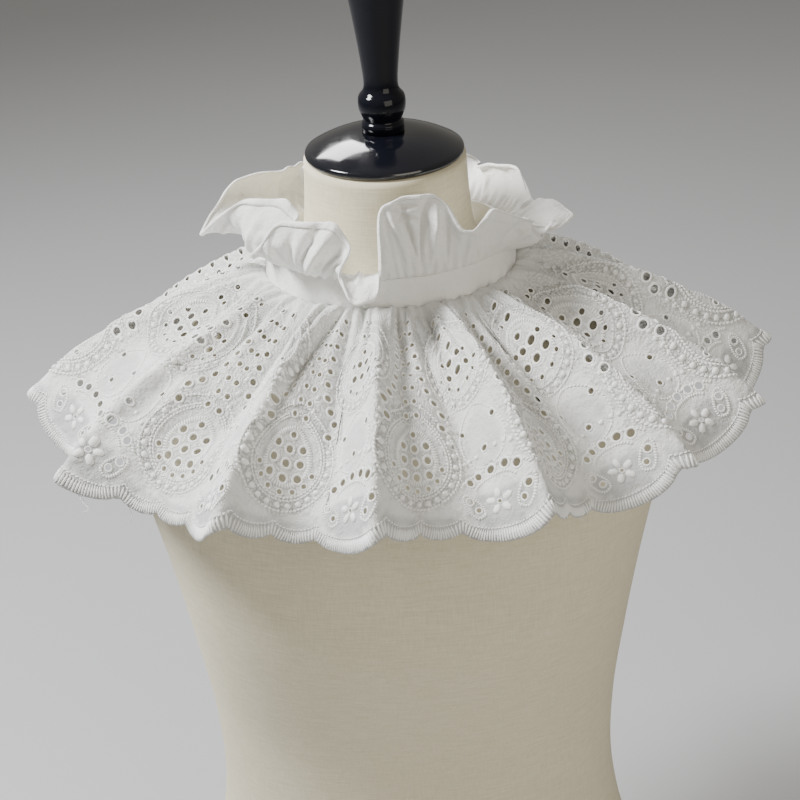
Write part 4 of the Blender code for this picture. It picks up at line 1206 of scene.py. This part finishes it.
# The standing ruffle: one gathered strip of plain cotton with a narrow rolled hem
ruffle = {
    "stand": 0.55, "standRise": 0.022, "standShare": 0.35, "tuckIn": 0.25, "levelPuff": 0.042,
    "gather": 0.0014, "gatherFlare": 0.05,
    "wall": 0.0004, "columns": 900, "rows": 30, "clothEnd": 0.985, "corner": 2.1, "cornerSteps": 9,
    # sheer: how far painted shade greys the cloth midway up the strip
    "creaseGain": 1.7, "widening": (0.6, 0.9), "fading": 0.8, "sheerShade": 0.10, "rootDown": 0.0004,
    "hem": 0.062, "hemThick": 0.00090, "hemColumns": 1100,
    "rootHeight": 0.0016, "rootGathers": (83.0, 1.5, 7.0), "edgeHeight": 0.0007, "edgeWaves": (37.0, 2.2, 5.0),
    "stitchPitch": 0.0024, "stitchUp": 0.006, "stitchOut": 1.1, "stitch": (0.0017, 0.00038, 0.00034),
    # azimuth at the band, swing round it at the edge, reach from the neck's axis, rise above the
    # band, and how far out the cloth puffs between band and edge
    "edge": [
        (-173, 0, 0.1190, 0.0120, 0.010), (-165, -1, 0.0930, 0.0290, 0.022),
        (-155, 1, 0.0920, 0.0300, 0.022), (-147, 0, 0.1190, 0.0120, 0.010),
        (-139, -3, 0.0925, 0.0262, 0.020), (-124, -4, 0.0895, 0.0275, 0.022),
        (-110, 4, 0.1060, 0.0325, 0.016), (-100, 4, 0.1112, 0.0262, 0.014),
        (-90, 4.5, 0.1266, 0.0085, 0.010), (-84, 3.5, 0.1068, 0.0302, 0.018),
        (-78, 2, 0.0942, 0.0400, 0.028), (-68, 8, 0.0742, 0.0442, 0.036),
        (-61, 11.5, 0.0735, 0.0345, 0.024), (-55, -1, 0.1115, 0.0126, 0.014),
        (-46, -1.5, 0.0955, 0.0405, 0.022), (-33, 10, 0.0870, 0.0432, 0.030),
        (-28, 13, 0.0930, 0.0290, 0.022), (-23, 4.5, 0.1070, 0.0160, 0.012),
        (-18, 3.6, 0.1190, 0.0052, 0.006), (-11, 0, 0.1210, 0.0020, 0.004),
        (-5.5, 0.7, 0.1160, 0.0042, 0.004), (-1.5, -1.9, 0.0980, 0.0194, 0.003),
        (2, -7.6, 0.0860, 0.0390, 0.002), (5, -8.7, 0.0795, 0.0502, 0.002),
        (12, -4.5, 0.0757, 0.0552, 0.003), (21, 2.5, 0.0757, 0.0540, 0.004), (25, 4, 0.0790, 0.0474, 0.004),
        (31, 0.6, 0.0917, 0.0313, 0.003), (37, -1, 0.0945, 0.0283, 0.003), (44, 6, 0.0867, 0.0380, 0.005),
        (56, 10.5, 0.1035, 0.0206, 0.014), (64, 9, 0.0890, 0.0170, 0.040), (71, 8, 0.1000, 0.0060, 0.030),
        (77, 4, 0.1125, 0.0042, 0.018), (85, 4.5, 0.1240, 0.0060, 0.010), (92, 6, 0.1112, 0.0100, 0.014),
        (98, 6, 0.0977, 0.0064, 0.020), (106, 9, 0.0995, 0.0243, 0.020), (116, 9, 0.0975, 0.0228, 0.022),
        (129, 8, 0.0930, 0.0180, 0.022), (141, 3, 0.1180, 0.0110, 0.012), (149, 3, 0.0930, 0.0290, 0.022),
        (160, 1, 0.0920, 0.0300, 0.022), (173, 0, 0.1180, 0.0120, 0.010),
    ],
    # creases fanning from the band: azimuth, drift, start and end up the strip, half width in
    # degrees, height
    "creases": [
        (-168, 2, 0.02, 0.70, 1.1, -0.0012), (-154, -2, 0.05, 0.88, 1.4, 0.0013),
        (-140, 2, 0.02, 0.60, 1.0, -0.0012), (-125, -3, 0.04, 0.92, 1.5, 0.0012),
        (-110, 2, 0.02, 0.66, 1.1, -0.0014), (-96, 3, 0.04, 0.84, 1.4, -0.0012),
        (-88, -2, 0.10, 0.97, 1.7, 0.0015), (-79, 2, 0.03, 0.80, 1.3, -0.0018),
        (-72, 1, 0.02, 0.92, 1.2, 0.0016), (-64, -3, 0.04, 0.74, 1.2, -0.0016),
        (-58, 2, 0.08, 0.98, 1.5, -0.0016), (-50, -2, 0.03, 0.82, 1.2, 0.0017),
        (-47, -3, 0.08, 0.95, 1.1, 0.0022), (-43, 1, 0.02, 0.96, 1.1, -0.0022),
        (-40, 4, 0.12, 1.05, 1.0, -0.0028), (-37, 5, 0.16, 1.05, 1.1, 0.0028),
        (-32, 3, 0.10, 1.05, 0.9, -0.0022), (-29, 2, 0.03, 0.86, 1.2, -0.0018),
        (-22, -2, 0.05, 0.96, 1.3, 0.0014), (-14, 2, 0.02, 0.72, 1.2, -0.0016),
        (-4, -1, 0.04, 0.92, 1.6, 0.0005), (3, 1, 0.02, 0.84, 1.0, -0.0020),
        (9, -3, 0.06, 0.90, 0.9, 0.0028), (13, -3, 0.12, 0.98, 0.8, -0.0040),
        (14, 5, 0.10, 0.98, 0.8, -0.0038), (18, 4, 0.04, 0.90, 1.1, 0.0030),
        (26, -2, 0.03, 0.82, 1.1, -0.0018), (36, 2, 0.05, 0.94, 1.3, 0.0016),
        (42, -1, 0.02, 0.72, 1.0, -0.0018), (52, 2, 0.04, 0.96, 1.4, -0.0015),
        (58, -2, 0.03, 0.80, 1.2, 0.0015), (68, 1, 0.02, 0.94, 1.3, -0.0017),
        (79, -2, 0.05, 0.78, 1.3, 0.0014), (93, 2, 0.04, 0.96, 1.5, -0.0014),
        (101, -3, 0.02, 0.70, 1.1, -0.0013), (115, 2, 0.04, 0.90, 1.5, 0.0013),
        (130, -2, 0.02, 0.66, 1.1, -0.0013), (144, 3, 0.05, 0.86, 1.4, 0.0012),
        (157, -2, 0.02, 0.72, 1.2, -0.0012), (168, 2, 0.04, 0.84, 1.3, 0.0012),
    ],
    # cross creases and pinches: azimuth, half width, place up the strip, half length up it, height
    "dents": [
        (12, 3.6, 0.84, 0.030, -0.0036), (12.5, 3.0, 0.76, 0.026, 0.0032),
        (11.5, 3.2, 0.68, 0.028, -0.0030), (13, 2.4, 0.60, 0.030, 0.0014), (20, 2.4, 0.56, 0.10, 0.0018),
        (5, 2.2, 0.62, 0.10, 0.0018), (-30, 2.4, 0.72, 0.10, -0.0018), (-46, 2.6, 0.66, 0.09, 0.0018),
        (-24, 3.0, 0.55, 0.08, -0.0016), (37, 2.6, 0.60, 0.10, -0.0018), (58, 3.0, 0.58, 0.09, 0.0018),
        (-62, 2.6, 0.60, 0.09, 0.0018), (-36, 3.0, 0.76, 0.05, -0.0012), (-70, 4.0, 0.70, 0.05, -0.0012),
        (47, 3.0, 0.72, 0.05, 0.0012), (-88, 5.0, 0.62, 0.06, 0.0014), (76, 4.0, 0.66, 0.05, -0.0012),
        (-128, 5.0, 0.60, 0.07, -0.0010), (134, 5.0, 0.64, 0.07, -0.0010),
    ],
}


def ruffleEdge(column, azimuth):
    # Straight between the rows, its corners rounded over a few degrees
    over = np.linspace(-1.0, 1.0, ruffle["cornerSteps"])
    weight = np.cos(over * np.pi / 2.2)
    total = azimuth * 0.0
    for shift, share in zip(over * ruffle["corner"], weight / weight.sum()):
        total = total + share * roundTable(ruffle["edge"], column, azimuth + shift, straight=True)
    return total


def rufflePoint(azimuth, up):
    # A place on the smooth strip, up being 0 at the band and 1 at the free edge
    swing, reach, rise, puff = [ruffleEdge(n, azimuth) for n in (1, 2, 3, 4)]
    flare = reach - neckBand["halfWidth"]
    top = neckBand["bottom"] + neckBand["height"]
    gather = ruffle["gather"] * flare / ruffle["gatherFlare"]
    root = neckRing(azimuth, neckBand["wall"] / 2.0 + gather - neckBand["lean"], top - ruffle["rootDown"])
    edge = outward(azimuth + swing) * reach[:, None]
    edge[:, 2] = top + rise
    bend = root * (1.0 - ruffle["stand"]) + edge * ruffle["stand"]
    standing = ruffle["standRise"] + ruffle["standShare"] * (edge[:, 2] - root[:, 2])
    bend[:, 2] = root[:, 2] + standing * (1.0 - puff / ruffle["levelPuff"])
    bend += outward(azimuth) * (puff - flare * ruffle["tuckIn"])[:, None]
    up = up[:, None]
    return root * (1.0 - up) ** 2 + bend * 2.0 * up * (1.0 - up) + edge * up * up


def ruffleLift(azimuth, up):
    lift = creaseLift(ruffle["creases"], azimuth, up, ruffle["widening"], ruffle["fading"])
    lift = ruffle["creaseGain"] * lift + dentLift(ruffle["dents"], azimuth, up)
    # small gathers at the band and a slight unevenness of the free edge
    turn = np.radians(azimuth)
    low = limited(1.0 - up / 0.35) ** 1.3 * limited(up / 0.03)
    high = limited((up - 0.7) / 0.3)
    lift = lift + ruffle["rootHeight"] * low * np.cos(wavering(turn, *ruffle["rootGathers"]))
    return lift + ruffle["edgeHeight"] * high * np.sin(wavering(turn, *ruffle["edgeWaves"]))


def ruffleSurface(azimuth, up):
    # Place and way out, creases included
    small = 0.05
    place = rufflePoint(azimuth, up)
    sideways = rufflePoint(azimuth + small, up) - rufflePoint(azimuth - small, up)
    over = rufflePoint(azimuth, np.minimum(up + 0.01, 1.0))
    under = rufflePoint(azimuth, np.maximum(up - 0.01, 0.0))
    out = unit(np.cross(sideways, over - under))
    return place + out * ruffleLift(azimuth, up)[:, None], out


def ruffleLength():
    # Cut length of the strip: its free edge measured along the waves
    edge = 180.0 - neckBand["opening"]
    azimuth = np.linspace(-edge, edge, 2400)
    return azimuth, pathLengths(ruffleSurface(azimuth, np.full(len(azimuth), 0.85))[0])


def ruffleDepth():
    # Cut depth of the strip: the mean of its slanting lengths
    depths = []
    for at in np.linspace(-170.0, 170.0, 60):
        place, _ = ruffleSurface(np.full(40, at), np.linspace(0.0, 1.0, 40))
        depths.append(np.linalg.norm(np.diff(place, axis=0), axis=1).sum())
    return float(np.mean(depths))


def buildRuffle():
    edge = 180.0 - neckBand["opening"]
    alongAzimuth, length = ruffleLength()
    depth = ruffleDepth()

    def cutPlace(azimuth, up):
        return np.stack([np.interp(azimuth, alongAzimuth, length), up * depth, up * 0.0], -1)

    columns, rows = ruffle["columns"], ruffle["rows"]
    azimuth = np.repeat(np.linspace(-edge, edge, columns), rows)
    up = np.tile(np.linspace(0.0, ruffle["clothEnd"], rows), columns)
    place, _ = ruffleSurface(azimuth, up)
    cloth = addPiece("neck_ruffle_cotton", place, gridFaces(columns, rows), plainCotton)
    # Painted shade: the cloth is greyed towards the sheer colour midway up the strip
    addCut(cloth.data, cutPlace(azimuth, up), limited(1.0 - np.abs(up - 0.5) * 2.2) * ruffle["sheerShade"])
    addWall(cloth, ruffle["wall"])
    # the rolled hem, a narrow fold round the free edge: place up the strip, way out in hem thicknesses
    thick = ruffle["hemThick"]
    start = 1.0 - ruffle["hem"]
    half = [(start - 0.016, 0.24), (start - 0.004, 0.26), (start, 1.0), (start + 0.35 * ruffle["hem"], 1.2),
            (0.985, 1.15), (0.998, 0.75)]
    profile = half + [(1.0, 0.0)] + [(at, -out) for at, out in reversed(half)]
    columns = ruffle["hemColumns"]
    azimuth = np.repeat(np.linspace(-edge, edge, columns), len(profile))
    up, offset = np.tile(np.array(profile), (columns, 1)).T
    place, out = ruffleSurface(azimuth, up)
    faces = [tuple(reversed(face)) for face in tubeFaces(columns, len(profile))]
    hem = addPiece("neck_ruffle_rolled_hem", place + out * (offset * thick)[:, None], faces, plainCotton)
    # Painted shadow: a grey line along the inner side of the hem, the sheer colour below the fold
    addCut(hem.data, cutPlace(azimuth, up), limited((start - up) / 0.003))
    # running stitches along the fold, seen on both sides
    count = round(length[-1] / ruffle["stitchPitch"])
    at = np.interp((np.arange(count) + 0.5) / count * length[-1], length, alongAzimuth)
    level = np.full(count, start + ruffle["stitchUp"])
    place, out = ruffleSurface(at, level)
    way = unit(ruffleSurface(at + 0.05, level)[0] - place)
    lift = out * thick * ruffle["stitchOut"]
    size = np.tile(ruffle["stitch"], (2 * count, 1))
    stitches = sew("neck_ruffle_hem_stitches", padTree, 5, 3, np.vstack([place + lift, place - lift]),
                   np.vstack([way, way]), np.vstack([out, -out]), size)
    for piece in (cloth, hem, stitches):
        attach(piece, "root")
    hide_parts("neck_ruffle")
    print("collar: ruffle %.3f m round its waves, %.1f mm deep" % (length[-1], depth * 1000))


def buildBand():
    # A folded strip with soft edges, drawn in a little at each gather, its over end lapped
    steps = neckBand["steps"]
    first = -180.0 - neckBand["lapAngle"] / 2.0
    last = 180.0 + neckBand["lapAngle"] / 2.0
    radius = neckBand["edgeRound"]
    wall = neckBand["wall"]
    height = neckBand["height"]
    profile = []
    for out, up, start in ((wall - radius, radius, -90), (wall - radius, height - radius, 0),
                           (radius, height - radius, 90), (radius, radius, 180)):
        for turn in [math.radians(start + 30.0 * n) for n in range(4)]:
            profile.append((out + radius * math.cos(turn), up + radius * math.sin(turn)))
        if start in (-90, 90):
            for share in (0.2, 0.4, 0.6, 0.8):
                level = share if start == -90 else 1.0 - share
                profile.append((wall if start == -90 else 0.0, radius + (height - 2.0 * radius) * level))
    count = len(profile)
    azimuth = np.repeat(np.linspace(first, last, steps + 1), count)
    out, up = np.tile(np.array(profile), (steps + 1, 1)).T
    turn = np.radians(azimuth)
    share = up / height
    out = out + lapOffset(azimuth) - neckBand["lean"] * share
    out = out + neckBand["ripple"] * np.cos(turn * neckBand["ripples"]) * (1.0 - share)
    for turns, drift, size in neckBand["waves"]:
        out = out + size * np.sin(turn * turns + drift * share)
    place = neckRing(azimuth, out, neckBand["bottom"] + up)
    band = addPiece("neck_band_cotton", place, tubeFaces(steps + 1, count), plainCotton)
    addCut(band.data, np.stack([turn * neckBand["halfWidth"], up, up * 0.0], -1), 0.0)
    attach(band, "root")
    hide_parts("neck_band")
    length = math.radians(last - first) * (neckBand["halfWidth"] + neckBand["halfDepth"]) / 2.0
    print("collar: band swept, %.0f mm" % (length * 1000))


# The button: turned, dished, with four holes, standing off the band by a shank's length; and its worked
# buttonhole
button = {
    "diameter": 0.0110, "thickness": 0.0024, "rim": 0.0011, "dish": 0.0006, "hole": 0.0008,
    "holeSpread": 0.00125, "drill": (-0.001, 0.004), "shank": 0.0004, "seat": 0.0003, "sides": 64,
    "holeSides": 16,
    "threadShift": 0.00022, "threadUp": 0.0002, "threadWidth": 0.0004, "threadHeight": 0.0006,
    # the buttonhole: half its length, bars on each side, length and width of a bar and of an end bar
    "slit": 0.0065, "bars": 27, "barAside": 0.0011, "bar": (0.0020, 0.00058), "endBar": (0.0046, 0.0011),
    "barHeight": 0.0005, "endRoom": 0.0006,
}


def turnedMesh(profile, sides):
    # Points and outward faces of a turned shape, profile from the lower pole to the upper
    profile = np.asarray(profile, float)
    points = []
    for n in range(sides):
        turn = 2.0 * math.pi * n / sides
        for radius, height in profile[1:-1]:
            points.append((radius * math.cos(turn), radius * math.sin(turn), height))
    rows = len(profile) - 2
    faces = gridFaces(sides, rows, roundColumns=True)
    low = len(points)
    points += [(0.0, 0.0, profile[0][1]), (0.0, 0.0, profile[-1][1])]
    for n in range(sides):
        after = (n + 1) % sides
        faces.append((low, after * rows, n * rows))
        faces.append((low + 1, n * rows + rows - 1, after * rows + rows - 1))
    return np.array(points), faces


def buildDisc(place):
    # A turned, dished disc with four thread holes, placed on the lap
    half = button["diameter"] / 2.0
    thick = button["thickness"]
    rim = button["rim"]
    dished = thick - button["dish"]
    profile = [
        (0.0, 0.0), (half - 0.0012, 0.0), (half - 0.0004, 0.0004), (half, thick * 0.5),
        (half - 0.0002, thick * 0.82), (half - rim * 0.5, thick), (half - rim, thick * 0.92),
        (half - rim * 1.5, dished), (0.0, dished),
    ]
    points, faces = turnedMesh(profile, button["sides"])
    disc = addPiece("band_button_pearl", [place @ Vector(point) for point in points], faces, pearlButton)
    low, high = button["drill"]
    drill = [(0.0, low), (button["hole"], low), (button["hole"], high), (0.0, high)]
    points, faces = turnedMesh(drill, button["holeSides"])
    cutters = []
    for x in (-1, 1):
        for y in (-1, 1):
            aside = np.array([x * button["holeSpread"], y * button["holeSpread"], 0.0])
            moved = [place @ Vector(point) for point in points + aside]
            cutters.append(addPiece("hole cutter", moved, faces, pearlButton))
    for cutter in cutters:
        cut = disc.modifiers.new("hole", "BOOLEAN")
        cut.object = cutter
        cut.operation = "DIFFERENCE"
        cut.solver = "EXACT"
    graph = bpy.context.evaluated_depsgraph_get()
    graph.update()
    pierced = bpy.data.meshes.new_from_object(disc.evaluated_get(graph))
    disc.modifiers.clear()
    disc.data = pierced
    for cutter in cutters:
        bpy.data.objects.remove(cutter, do_unlink=True)
    return disc


def buildButtonThreads(place):
    # Two crossed pairs of threads through the holes
    turned = place.to_3x3()
    face = turned @ Vector((0.0, 0.0, 1.0))
    middle = place @ Vector((0.0, 0.0, button["thickness"] - button["dish"] + button["threadUp"]))
    places = []
    ways = []
    for slant in (2, -2):
        way = (turned @ Vector((2, slant, 0.0))).normalized()
        for shift in (-button["threadShift"], button["threadShift"]):
            places.append(tuple(middle + way.cross(face) * shift))
            ways.append(tuple(way))
    size = np.tile((button["holeSpread"] * 3.2, button["threadWidth"], button["threadHeight"]), (4, 1))
    return sew("band_button_threads", padTree, 6, 4, places, ways, [tuple(face)] * 4, size)


def buildButtonhole():
    # Bars of satin stitch round a slit along the band, and a longer bar at each end
    slit = button["slit"]
    bars = [(share, side * button["barAside"]) + button["bar"]
            for share in np.linspace(-slit, slit, button["bars"]) for side in (-1.0, 1.0)]
    bars += [(side * (slit + button["endRoom"]), 0.0) + button["endBar"] for side in (-1.0, 1.0)]
    along, up, length, width = np.array(bars).T
    azimuths = 180.0 - np.degrees(along / neckBand["halfDepth"])
    outs = neckBand["wall"] + lapOffset(azimuths) - neckBand["lean"] / 2.0 + 0.0001
    place = neckRing(azimuths, outs, neckBand["bottom"] + neckBand["height"] / 2.0 + up)
    size = np.stack([length, width, np.full(len(bars), button["barHeight"])], -1)
    upright = np.tile((0.0, 0.0, 1.0), (len(bars), 1))
    return sew("band_buttonhole_stitches", padTree, 5, 4, place, upright, outward(azimuths), size)


def buildButton():
    band = neckBand
    middle = band["bottom"] + band["height"] / 2.0
    out = band["wall"] + band["lapRise"] - band["lean"] / 2.0
    seat = neckRing(np.array([180.0]), out, middle)[0]
    seat[0] = 0.0
    seat[1] += button["seat"] + button["shank"]
    lean = math.atan2(band["lean"], band["height"])
    place = Matrix.Translation(Vector(seat)) @ Matrix.Rotation(-math.pi / 2.0 + lean, 4, "X")
    disc = buildDisc(place)
    threads = buildButtonThreads(place)
    hole = buildButtonhole()
    for piece in (disc, threads, hole):
        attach(piece, "root")
    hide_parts("band_button")
    print("collar: button and buttonhole")


# The dress form: linen over a limbless torso, with its turned cap and finial
dressForm = {
    "sides": 128, "between": 7,
    # z, half width, depth before the neck's axis, depth behind it, squareness
    "sections": [
        (0.000, 0.160, 0.102, 0.114, 2.3), (0.012, 0.165, 0.107, 0.119, 2.3),
        (0.055, 0.171, 0.112, 0.126, 2.3), (0.105, 0.166, 0.110, 0.120, 2.3),
        (0.165, 0.152, 0.103, 0.100, 2.3), (0.220, 0.1455, 0.098, 0.088, 2.3),
        (0.280, 0.148, 0.104, 0.088, 2.3), (0.340, 0.156, 0.122, 0.097, 2.3),
        (0.385, 0.163, 0.135, 0.106, 2.3), (0.425, 0.171, 0.137, 0.112, 2.3),
        (0.462, 0.179, 0.131, 0.117, 2.4), (0.497, 0.184, 0.120, 0.120, 2.5),
        (0.523, 0.181, 0.109, 0.118, 2.5), (0.545, 0.165, 0.101, 0.113, 2.4),
        (0.566, 0.140, 0.094, 0.106, 2.2), (0.586, 0.113, 0.087, 0.098, 2.1),
        (0.602, 0.0945, 0.0815, 0.0865, 2.0), (0.6147, 0.0812, 0.0762, 0.0762, 2.0),
        (0.624, 0.066, 0.064, 0.064, 2.0), (0.638, 0.0575, 0.0570, 0.0575, 2.0),
        (0.660, 0.0545, 0.0545, 0.0545, 2.0), (0.6900, 0.0530, 0.0530, 0.0530, 2.0),
    ],
    "neckTop": 0.6900,
}


def buildForm():
    sections = smoothRows(dressForm["sections"], dressForm["between"])
    sides = dressForm["sides"]
    points = []
    for step in range(sides):
        angle = 2.0 * math.pi * step / sides
        sine = math.sin(angle)
        cosine = math.cos(angle)
        for z, halfWidth, front, back, squareness in sections:
            depth = front if cosine > 0.0 else back
            scale = (abs(sine) ** squareness + abs(cosine) ** squareness) ** (-1.0 / squareness)
            points.append((halfWidth * sine * scale, -depth * cosine * scale, z))
    rows = len(sections)
    faces = gridFaces(sides, rows, roundColumns=True)
    faces.append(tuple(column * rows for column in reversed(range(sides))))
    faces.append(tuple(column * rows + rows - 1 for column in range(sides)))
    form = addPiece("dress_form_linen", points, faces, creamLinen)
    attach(form, "root")
    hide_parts("dress_form")
    print("collar: form covered")


turnedWood = {
    "capRadius": 0.0520, "capEdge": 0.0032, "capRise": 0.0165, "edgeTurn": 130.0, "edgeSteps": 14,
    "domeSteps": 24, "foot": 0.0138, "gap": 0.0003, "sides": 128, "between": 8,
    # radius, height above the cap
    "finial": [
        (0.0138, 0.0000), (0.0138, 0.0055), (0.0122, 0.0075), (0.0152, 0.0150), (0.0150, 0.0230),
        (0.0112, 0.0300), (0.0125, 0.0480), (0.0160, 0.0750), (0.0195, 0.0980), (0.0205, 0.1120),
        (0.0170, 0.1230), (0.0090, 0.1290), (0.0000, 0.1305),
    ],
}


def buildTurnedWood():
    wood = turnedWood
    edge = wood["capEdge"]
    foot = wood["foot"]
    profile = [(0.0, 0.0), (wood["capRadius"] - edge, 0.0)]
    for step in range(1, wood["edgeSteps"] + 1):
        turn = math.radians(wood["edgeTurn"] * step / wood["edgeSteps"])
        profile.append((wood["capRadius"] - edge + edge * math.sin(turn), edge - edge * math.cos(turn)))
    rimRadius, rimHeight = profile[-1]
    for step in range(1, wood["domeSteps"] + 1):
        share = 1.0 - step / (wood["domeSteps"] + 1.0)
        height = rimHeight + (wood["capRise"] - rimHeight) * (1.0 - share ** 2)
        profile.append((foot + (rimRadius - foot) * share, height))
    profile += [(foot + 0.001, wood["capRise"]), (0.0, wood["capRise"])]
    points, faces = turnedMesh(profile, wood["sides"])
    points[:, 2] += dressForm["neckTop"] + wood["gap"]
    cap = addPiece("neck_cap_lacquered", points, faces, capLacquer)
    body = [tuple(row) for row in smoothRows(wood["finial"][2:], wood["between"])]
    shoulder = [(0.0137, 0.0060), (0.0129, 0.0067)]
    profile = [(0.0, 0.0)] + wood["finial"][:2] + shoulder + body[:-1] + [(0.0, wood["finial"][-1][1])]
    points, faces = turnedMesh(profile, wood["sides"])
    points[:, 2] += dressForm["neckTop"] + wood["capRise"] + 2.0 * wood["gap"]
    finial = addPiece("neck_finial_lacquered", points, faces, postLacquer)
    for piece, node in ((cap, "neck_cap"), (finial, "neck_finial")):
        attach(piece, "root")
        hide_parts(node)
    print("collar: cap and finial turned")


# A plain floor, and soft light: a key high on the left, a weak fill on the right, one from behind
stage = {
    "floor": 9.0, "floorDown": 0.0005, "world": (1.0, 0.945, 0.85, 1.0), "worldStrength": 0.27,
    # name, place, what it shines at, size, watts, colour
    "lights": [
        ("key", (-1.15, -0.10, 1.75), (0.0, -0.02, 0.56), 0.45, 64.0, (0.985, 0.992, 1.0)),
        ("fill", (0.9, -1.5, 1.05), (0.0, 0.0, 0.52), 1.2, 13.0, (1.0, 0.94, 0.82)),
        ("back", (-0.45, 1.15, 1.75), (0.0, 0.0, 0.6), 0.6, 22.0, (1.0, 0.995, 0.99)),
    ],
}


def addStage():
    half = stage["floor"]
    corners = [(-half, -half, 0), (half, -half, 0), (half, half, 0), (-half, half, 0)]
    floor = addPiece("floor", corners, [(0, 1, 2, 3)], floorFinish())
    floor.location.z = -stage["floorDown"]
    sky = bpy.data.worlds.new("studio")
    sky.use_nodes = True
    glow = sky.node_tree.nodes["Background"].inputs
    glow["Color"].default_value = stage["world"]
    glow["Strength"].default_value = stage["worldStrength"]
    bpy.context.scene.world = sky
    for name, place, target, size, power, colour in stage["lights"]:
        lamp = bpy.data.lights.new(name, "AREA")
        lamp.shape = "SQUARE"
        lamp.size = size
        lamp.energy = power
        lamp.color = colour
        stand = bpy.data.objects.new(name, lamp)
        stand.location = place
        stand.rotation_euler = (Vector(target) - Vector(place)).to_track_quat("-Z", "Y").to_euler()
        world.objects.link(stand)


buildForm()
buildTurnedWood()
buildBand()
buildButton()
buildRuffle()
buildCape()
addStage()
